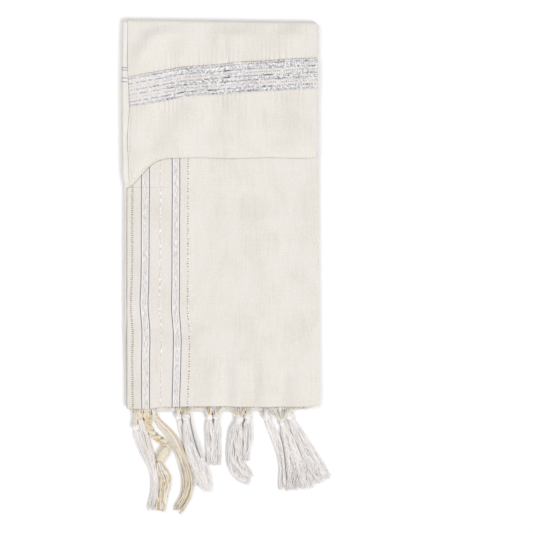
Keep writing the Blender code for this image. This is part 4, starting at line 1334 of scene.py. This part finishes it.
def bundle_paths(centre, count, seed, root=None, lanes=1, ragged=0.07, stray=0.10):
    """Yarns along a centre line; its columns are across, down, up, half width and half height.

    Near the root the yarns gather into a level row of lanes; below it they ease into their
    spots. A lock ends a little early, each yarn of it at its own length, and yarns fray.
    """
    rng = np.random.default_rng(seed)
    share = np.linspace(0, 1, len(centre))
    spots, lock_length = lock_spots(count, share, rng)
    own = rng.uniform(0, TAU, (count, 2))
    spots[..., 0] += stray * share ** 2 * np.sin(TAU * share * 2.6 + own[:, :1])
    spots[..., 1] += 0.5 * stray * share * np.sin(TAU * share * 2.1 + own[:, 1:])
    if root is not None:
        lane = (np.arange(count) % lanes + 0.5) / lanes * 2 - 1 + rng.normal(0, 0.12 / lanes, count)
        lane = lane * (1 + 0.25 * (1 - root[:, None]) * np.sin(own[:, 0]))
        spots[..., 0] = spots[..., 0] * (1 - root) + lane.T * root
        spots[..., 1] = spots[..., 1] * (1 - root)
    reach = 1.04 - ragged * (0.6 * lock_length + 0.6 * rng.uniform(0, 1, (count, 1)))
    at = share * (len(centre) - 1) * reach
    low = np.minimum(at.astype(int), len(centre) - 2)
    blend = (at - low)[..., None]
    line = centre[low] * (1 - blend) + centre[low + 1] * blend
    side = aside_of(centre)
    if root is not None:
        side = unit(side * (1 - root[:, None]) + np.array([-1.0, 0.0]) * root[:, None])
    side = side[low] * (1 - blend) + side[low + 1] * blend
    plan = line[..., :2] + side * (spots[..., :1] * line[..., 3:4])
    up = line[..., 2] + spots[..., 1] * line[..., 4]
    return place(plan[..., 0], plan[..., 1], np.maximum(up, YARN_RADIUS + TABLE_CLEAR))


def tail_rows(tail, lift, thick):
    """Rows of a tail that lies a lift above the table: its middle is as far up as it is thick."""
    return [[across, down, lift + high, wide, high] for (across, down, wide), high in zip(tail, thick)]


print("a yarn is", 2 * YARN_RADIUS, "mm thick")

# %% [markdown]
# ## A tassel's centre line
# The line starts inside the hem, drops to the knot, and follows the table's tail to its tip.
# The knot grips the bundle, so just below it the width is the knot's own.

# %% Centre line of a tassel
STATIONS = 24
ROOT_STATIONS = 6
TIP_SHARE = 0.72
KNOT_GRIP = 0.42


def tassel_line(tassel):
    """Centre line from inside the hem to the tip, where its knot lies, and how far each is root."""
    knot_up = tassel.lift + tassel.radius * (0.9 if tassel.lift < 1 else 0.7)
    root_down = float(end_at(FRONT_END, np.array([[tassel.root]]))[0, 0]) - 1.2
    grip = KNOT_GRIP * tassel.radius
    knot = np.array([*tassel.knot, knot_up, grip, grip])
    start = np.array([tassel.root, root_down, ROOT_UP, tassel.fan, 0.4])
    share = np.linspace(0, 1, ROOT_STATIONS, endpoint=False)[:, None]
    upper = start * (1 - share) + knot * share
    upper[:, 2:3] = ROOT_UP + (knot_up - ROOT_UP) * soft_step(share * 1.2)
    thick = np.linspace(1, TIP_SHARE, len(tassel.tail)) * tassel.thick
    rows = np.array([knot, *tail_rows(tassel.tail, tassel.lift, thick)])
    lower, length = smooth_curve(rows, np.linspace(0, 1, STATIONS - ROOT_STATIONS))
    away = np.linspace(0, length, len(lower))
    tight = np.exp(-((away / (1.05 * tassel.radius)) ** 2))[:, None]
    lower[:, 3:] = lower[:, 3:] * (1 - tight) + grip * tight
    root = np.concatenate([np.ones(ROOT_STATIONS), 1 - soft_step(away / tassel.radius)])
    ahead = unit(lower[2, :2] - upper[-1, :2])
    return np.vstack([upper, lower]), knot[:3], ahead, root


print("a yarn has", STATIONS, "stations")

# %% [markdown]
# ## Knots
# A knot is a ball of yarns that spiral over it from end to end. Single threads fan from the
# hem to its top, and one tassel carries two dark metallic threads twisted together.

# %% Knots and tassels
YARN_TAPER = 0.75
KNOT_YARNS = 42
KNOT_STATIONS = 12
KNOT_SPAN = math.radians(70)
KNOT_TURN = 1.3
KNOT_YARN_RADIUS = 0.46
KNOT_SWELL = 1.1
KNOT_LONG = 1.08
KNOT_FLAT = 0.92
FAN_STATIONS = 7
FAN_RADIUS = 0.3
FAN_SCATTER = 0.08
FAN_ARCH = 0.6
FAN_KINDS = (0.45, 0.42, 0.13)
METAL_RADIUS = 0.34
METAL_TWIST = 0.45
METAL_TURNS = 9
METAL_STATIONS = 60
METAL_THREAD = [
    (82.2, 474.0, 7.4), (84.6, 489.6, 8.4), (87.8, 503.2, 9.2), (91.4, 514.7, 9.4), (95.6, 526.2, 9.0)]


def knot_arrays(centre, ahead, radius, seed, first_number):
    """Tubes that spiral over a ball: latitude runs along the tassel while longitude turns."""
    rng = np.random.default_rng(seed)
    share = np.linspace(-1, 1, KNOT_STATIONS)
    yarns = np.arange(KNOT_YARNS)[:, None]
    around = TAU * yarns / KNOT_YARNS + KNOT_TURN * share + 0.06 * rng.normal(size=(KNOT_YARNS, 1))
    latitude = KNOT_SPAN * share + 0 * yarns
    lumps = 1 + 0.05 * np.sin(2 * around + rng.uniform(0, TAU))
    size = KNOT_SWELL * radius * lumps - KNOT_YARN_RADIUS
    along = KNOT_LONG * size * np.sin(latitude)
    out = size * np.cos(latitude)
    aside = np.array([-ahead[1], ahead[0]])
    plan = centre[:2] + along[..., None] * ahead + (out * np.cos(around))[..., None] * aside
    up = np.maximum(centre[2] + KNOT_FLAT * out * np.sin(around), KNOT_YARN_RADIUS + 0.1)
    axis = np.array([ahead[0], -ahead[1], 0.0])
    paths = place(plan[..., 0], plan[..., 1], up)
    return tube_arrays(paths, KNOT_YARN_RADIUS, first_number + np.arange(KNOT_YARNS), axis)


def fan_arrays(tassel, knot, seed):
    """Single cream threads that run straight from the hem to the top of a knot."""
    rng = np.random.default_rng(seed)
    count = 2 * tassel.lanes
    lane = np.linspace(-1, 1, count)[:, None] + rng.uniform(-FAN_SCATTER, FAN_SCATTER, (count, 1))
    share = np.linspace(0, 1, FAN_STATIONS)
    foot = knot[0] + 0.3 * tassel.radius * lane
    across = (tassel.root + lane * tassel.fan) * (1 - share) + foot * share
    hem = end_at(FRONT_END, across[:, :1]) - 1.0
    down = hem + (knot[1] - 0.5 * tassel.radius - hem) * share
    up = ROOT_UP + (knot[2] + 0.8 * tassel.radius - ROOT_UP) * share + FAN_ARCH * np.sin(math.pi * share)
    numbers = yarn_numbers(count, FAN_KINDS, rng)
    return tube_arrays(place(across, down, up), FAN_RADIUS, numbers)


def bundle_arrays(tassel, seed):
    """One bundle's yarns, its knot and the threads of its fan."""
    line, knot, ahead, root = tassel_line(tassel)
    paths = bundle_paths(line, tassel.yarns, seed, root, tassel.lanes)
    numbers = yarn_numbers(tassel.yarns, tassel.kinds, np.random.default_rng(seed))
    taper = np.linspace(1, YARN_TAPER, STATIONS) * YARN_RADIUS
    knot_kind = WHITE if tassel.kinds[WHITE] == 1.0 else CREAM
    first_number = KIND_STEP * knot_kind + tassel.yarns
    return [
        tube_arrays(paths, taper, numbers),
        knot_arrays(knot, ahead, tassel.radius, seed, first_number),
        fan_arrays(tassel, knot, seed),
    ]


def metal_arrays():
    """Two dark metallic threads twisted about one line that lies on tassel c."""
    line = smooth_curve(np.array(METAL_THREAD), np.linspace(0, 1, METAL_STATIONS))[0]
    turn = np.linspace(0, METAL_TURNS * TAU, METAL_STATIONS) + np.array([[0.0], [math.pi]])
    aside = aside_of(line)[None] * (METAL_TWIST * np.cos(turn))[..., None]
    up = line[:, 2] + 0.4 * np.sin(turn)
    paths = place(line[:, 0] + aside[..., 0], line[:, 1] + aside[..., 1], up)
    return tube_arrays(paths, METAL_RADIUS, METAL * KIND_STEP + np.arange(2.0))


tassel_parts = {}
for seed, tassel in enumerate(TASSELS):
    tassel_parts.setdefault(tassel.name, []).extend(bundle_arrays(tassel, seed + 11))
tassel_parts["tassel_c"].append(metal_arrays())
for name, parts in tassel_parts.items():
    slot_name = "cream_cord" if name.startswith("tzitzit") else "white_yarn"
    make_piece(name + "_yarn", *join_arrays(parts), soft_yarn, slot_name, (name,))

# %% [markdown]
# ## Threads along the hem
# Between the tassels, loose warp ends hang from the hem and run a little way along it. Each is
# one thin tube that starts inside the hem and sags. Where two knots lie side by side, a few
# thicker ends hang straight down behind them.

# %% Build the hem threads
HEM_STATIONS = 8
HEM_THREADS = 90
HEM_FROM = 52.0
HEM_TO = 226.0
HEM_RUN = 9.0
HEM_SAG = (1.0, 3.4)
HEM_RADIUS = 0.2
INSIDE_HEM = 1.0
HEM_FRAY = 1.6
GAP_SPOTS = (24.5, 33.6, 73.4, 110.1, 147.2)
GAP_YARNS = 8
GAP_SPREAD = 2.0
GAP_LEAN = 1.0
GAP_LENGTH = (9.0, 14.0)
GAP_UP = 4.0


def hem_threads():
    """Threads from the hem: across by a share of their run, down by a parabola's sag."""
    rng = np.random.default_rng(3)
    share = np.linspace(0, 1, HEM_STATIONS)
    start = rng.uniform(HEM_FROM, HEM_TO, (HEM_THREADS, 1))
    run = rng.uniform(-HEM_RUN, HEM_RUN, (HEM_THREADS, 1))
    sag = rng.uniform(*HEM_SAG, (HEM_THREADS, 1))
    across = start + run * share + 0.3 * np.sin(TAU * share * 1.5 + start)
    down = end_at(FRONT_END, across) - INSIDE_HEM + 1.3 * share
    down = down + 4 * sag * share * (1 - share) + 0.5 * sag * share
    up = ROOT_UP - 0.4 * share - rng.uniform(0.0, HEM_FRAY, (HEM_THREADS, 1)) * share
    numbers = yarn_numbers(HEM_THREADS, (0.55, 0.38, 0.07), rng)
    return tube_arrays(place(across, down, up), HEM_RADIUS, numbers)


def gap_yarns():
    """Straight ends behind twin knots: down by a share of their length, up by a falling square."""
    rng = np.random.default_rng(31)
    count = GAP_YARNS * len(GAP_SPOTS)
    share = np.linspace(0, 1, HEM_STATIONS)
    across = np.repeat(GAP_SPOTS, GAP_YARNS)[:, None] + rng.uniform(-GAP_SPREAD, GAP_SPREAD, (count, 1))
    across = across + rng.uniform(-GAP_LEAN, GAP_LEAN, (count, 1)) * share
    down = end_at(FRONT_END, across) - INSIDE_HEM + rng.uniform(*GAP_LENGTH, (count, 1)) * share
    up = GAP_UP + (ROOT_UP - 4.4) * (1 - share) ** 2 + rng.uniform(0.0, HEM_FRAY, (count, 1)) * share
    numbers = yarn_numbers(count, (0.7, 0.3), rng)
    return tube_arrays(place(across, down, up), YARN_RADIUS, numbers)


make_piece("hem_threads", *join_arrays([hem_threads(), gap_yarns()]), soft_yarn, "white_yarn")

# %% [markdown]
# ## Stitches round the flap
# The flap's cut corner is held by small hand stitches, set just inside its edge. Each stitch
# is a short thick thread, sunk at both ends, so that it catches the light like a grain of rice.

# %% Build the flap's stitches
STITCH_PATH = [
    (12.6, 118.0), (11.2, 150.0), (12.0, 176.0), (13.6, 195.0),
    (33.6, 175.0), (43.0, 168.2), (58.0, 164.8)]
STITCH_PITCH = 4.4
STITCH_LENGTH = 2.6
STITCH_STATIONS = 6
STITCH_RADIUS = 0.26
STITCH_RISE = 0.3


def flap_stitches():
    """Tubes along a path at an even pitch, whose height is the leaf's plus half a sine."""
    corners = np.array(STITCH_PATH)
    length = np.concatenate([[0], np.cumsum(np.hypot(*np.diff(corners, axis=0).T))])
    rng = np.random.default_rng(21)
    start = np.arange(0, length[-1] - STITCH_LENGTH, STITCH_PITCH)[:, None]
    start = start + rng.uniform(-0.4, 0.4, start.shape)
    share = np.linspace(0, 1, STITCH_STATIONS)
    at = start + STITCH_LENGTH * share
    across = np.interp(at, length, corners[:, 0]) + rng.uniform(-0.15, 0.15, start.shape)
    down = np.interp(at, length, corners[:, 1])
    up = NECK_BASE + LEAF_PAIR + neck_height(across, down) + 0.05 + STITCH_RISE * np.sin(math.pi * share)
    numbers = yarn_numbers(len(start), (0.3, 0.7), rng)
    return tube_arrays(place(across, down, up), STITCH_RADIUS, numbers)


make_piece("flap_stitches", *flap_stitches(), soft_yarn, "white_yarn")

# %% [markdown]
# ## The corner cord
# The corner carries a cord of cream wool: two thick plies twisted together, a stretch wound
# with a flat band of yarns, and then loose strings. Each ply is itself a bundle of yarns, so
# the cord catches the light like rope.

# %% Build the corner cord
CORD_PATH = [
    (30.1, 467.4, 3.2), (30.4, 474.0, 3.8), (31.2, 482.0, 3.9), (33.3, 491.0, 3.9),
    (38.2, 499.8, 3.9), (46.0, 505.6, 3.8), (52.4, 509.8, 3.5), (54.8, 514.8, 3.8),
    (52.0, 520.0, 4.7), (48.2, 525.6, 4.6), (45.8, 531.4, 3.8),
]
CORD_STRINGS = [
    (48.2, 541.0, 5.8), (52.6, 550.0, 7.0), (52.6, 560.0, 6.8), (49.6, 574.0, 5.2),
    (46.4, 589.0, 4.6),
]
CORD_STOPS = (468, 472.5, 479, 600)
CORD_UP = (ROOT_UP, ROOT_UP, 4.1, 4.1)
CORD_HALF_HEIGHT = (0.95, 1.3, 3.5, 3.5)
CORD_STATIONS = 110
LOOSE_YARNS = 110
OCHRE_YARNS = 9
PLIES = 2
PLY_YARNS = 22
PLY_TURNS = 4.6
WOUND_FROM = 0.74
WINDINGS = 4
WINDING_YARNS = 7


def cord_line():
    """Centre line of the twisted and wound cord."""
    across, down, half_width = np.array(CORD_PATH).T
    up = np.interp(down, CORD_STOPS, CORD_UP)
    half_height = np.interp(down, CORD_STOPS, CORD_HALF_HEIGHT)
    rows = np.stack([across, down, up, half_width, half_height], axis=-1)
    return smooth_curve(rows, np.linspace(0, 1, CORD_STATIONS))[0]


def ply_paths(line):
    """Yarns of two plies: a ply circles the cord's line, and its yarns circle the ply's."""
    share = np.linspace(0, 1, CORD_STATIONS)
    ply = np.repeat(np.arange(PLIES), PLY_YARNS)[:, None]
    yarn = np.tile(np.arange(PLY_YARNS), PLIES)[:, None]
    turn = TAU * (PLY_TURNS * share + ply / PLIES)
    small = TAU * (yarn / PLY_YARNS - 0.6 * PLY_TURNS * share)
    aside = line[:, 3] * (0.54 * np.cos(turn) + 0.56 * np.cos(small))
    up = line[:, 2] + line[:, 4] * (0.46 * np.sin(turn) + 0.48 * np.sin(small))
    plan = line[:, :2] + aside[..., None] * aside_of(line)
    return place(plan[..., 0], plan[..., 1], np.maximum(up, 0.5))


def winding_paths(line):
    """A flat band of yarns wound round the cord's last stretch, crowned across the band."""
    last = line[int(WOUND_FROM * CORD_STATIONS):]
    lane = (np.arange(WINDING_YARNS) - (WINDING_YARNS - 1) / 2)[:, None] / WINDING_YARNS
    turn = np.linspace(0, WINDINGS, 24 * WINDINGS)
    share = np.clip((turn + lane) / WINDINGS, 0, 1)
    at = np.linspace(0, 1, len(last))
    rows = np.stack([np.interp(share, at, column) for column in last.T], axis=-1)
    side = np.stack([np.interp(share, at, column) for column in aside_of(last).T], axis=-1)
    crown = 0.94 + 0.24 * np.cos(math.pi * lane)
    plan = rows[..., :2] + (crown * rows[..., 3] * np.cos(TAU * turn))[..., None] * side
    up = rows[..., 2] + 0.94 * crown * rows[..., 4] * np.sin(TAU * turn)
    return place(plan[..., 0], plan[..., 1], np.maximum(up, 0.6))


def cord_arrays():
    """The cord's plies, its winding, its loose strings and a few ochre ones over them."""
    rng = np.random.default_rng(8)
    line = cord_line()
    thick = np.linspace(3.0, 2.1, len(CORD_STRINGS))
    strings = np.vstack([line[-1:], tail_rows(CORD_STRINGS, 0.3, thick)])
    strings[0, 3:] = 2.6
    centre = smooth_curve(strings, np.linspace(0, 1, STATIONS))[0]
    loose = bundle_paths(centre, LOOSE_YARNS, 5, ragged=0.05)
    over = centre.copy()
    over[:, 2] += 0.8
    ochre = bundle_paths(over, OCHRE_YARNS, 6, ragged=0.02, stray=0.7)
    wraps = winding_paths(line)
    plies = ply_paths(line)
    return [
        tube_arrays(paths, radius, yarn_numbers(len(paths), kinds, rng), reference)
        for paths, radius, reference, kinds in (
            (plies, 0.42, UPWARDS, (0.0, 0.66, 0.34)),
            (wraps, 0.46, UPWARDS + 0.2, (0.0, 0.8, 0.2)),
            (loose, YARN_RADIUS, UPWARDS, (0.5, 0.46, 0.04)),
            (ochre, 0.4, UPWARDS, (0.0, 0.1, 0.9)),
        )
    ]


make_piece(
    "tzitzit_cord_yarn", *join_arrays(cord_arrays()), soft_yarn, "cream_cord", ("tzitzit_cord",))
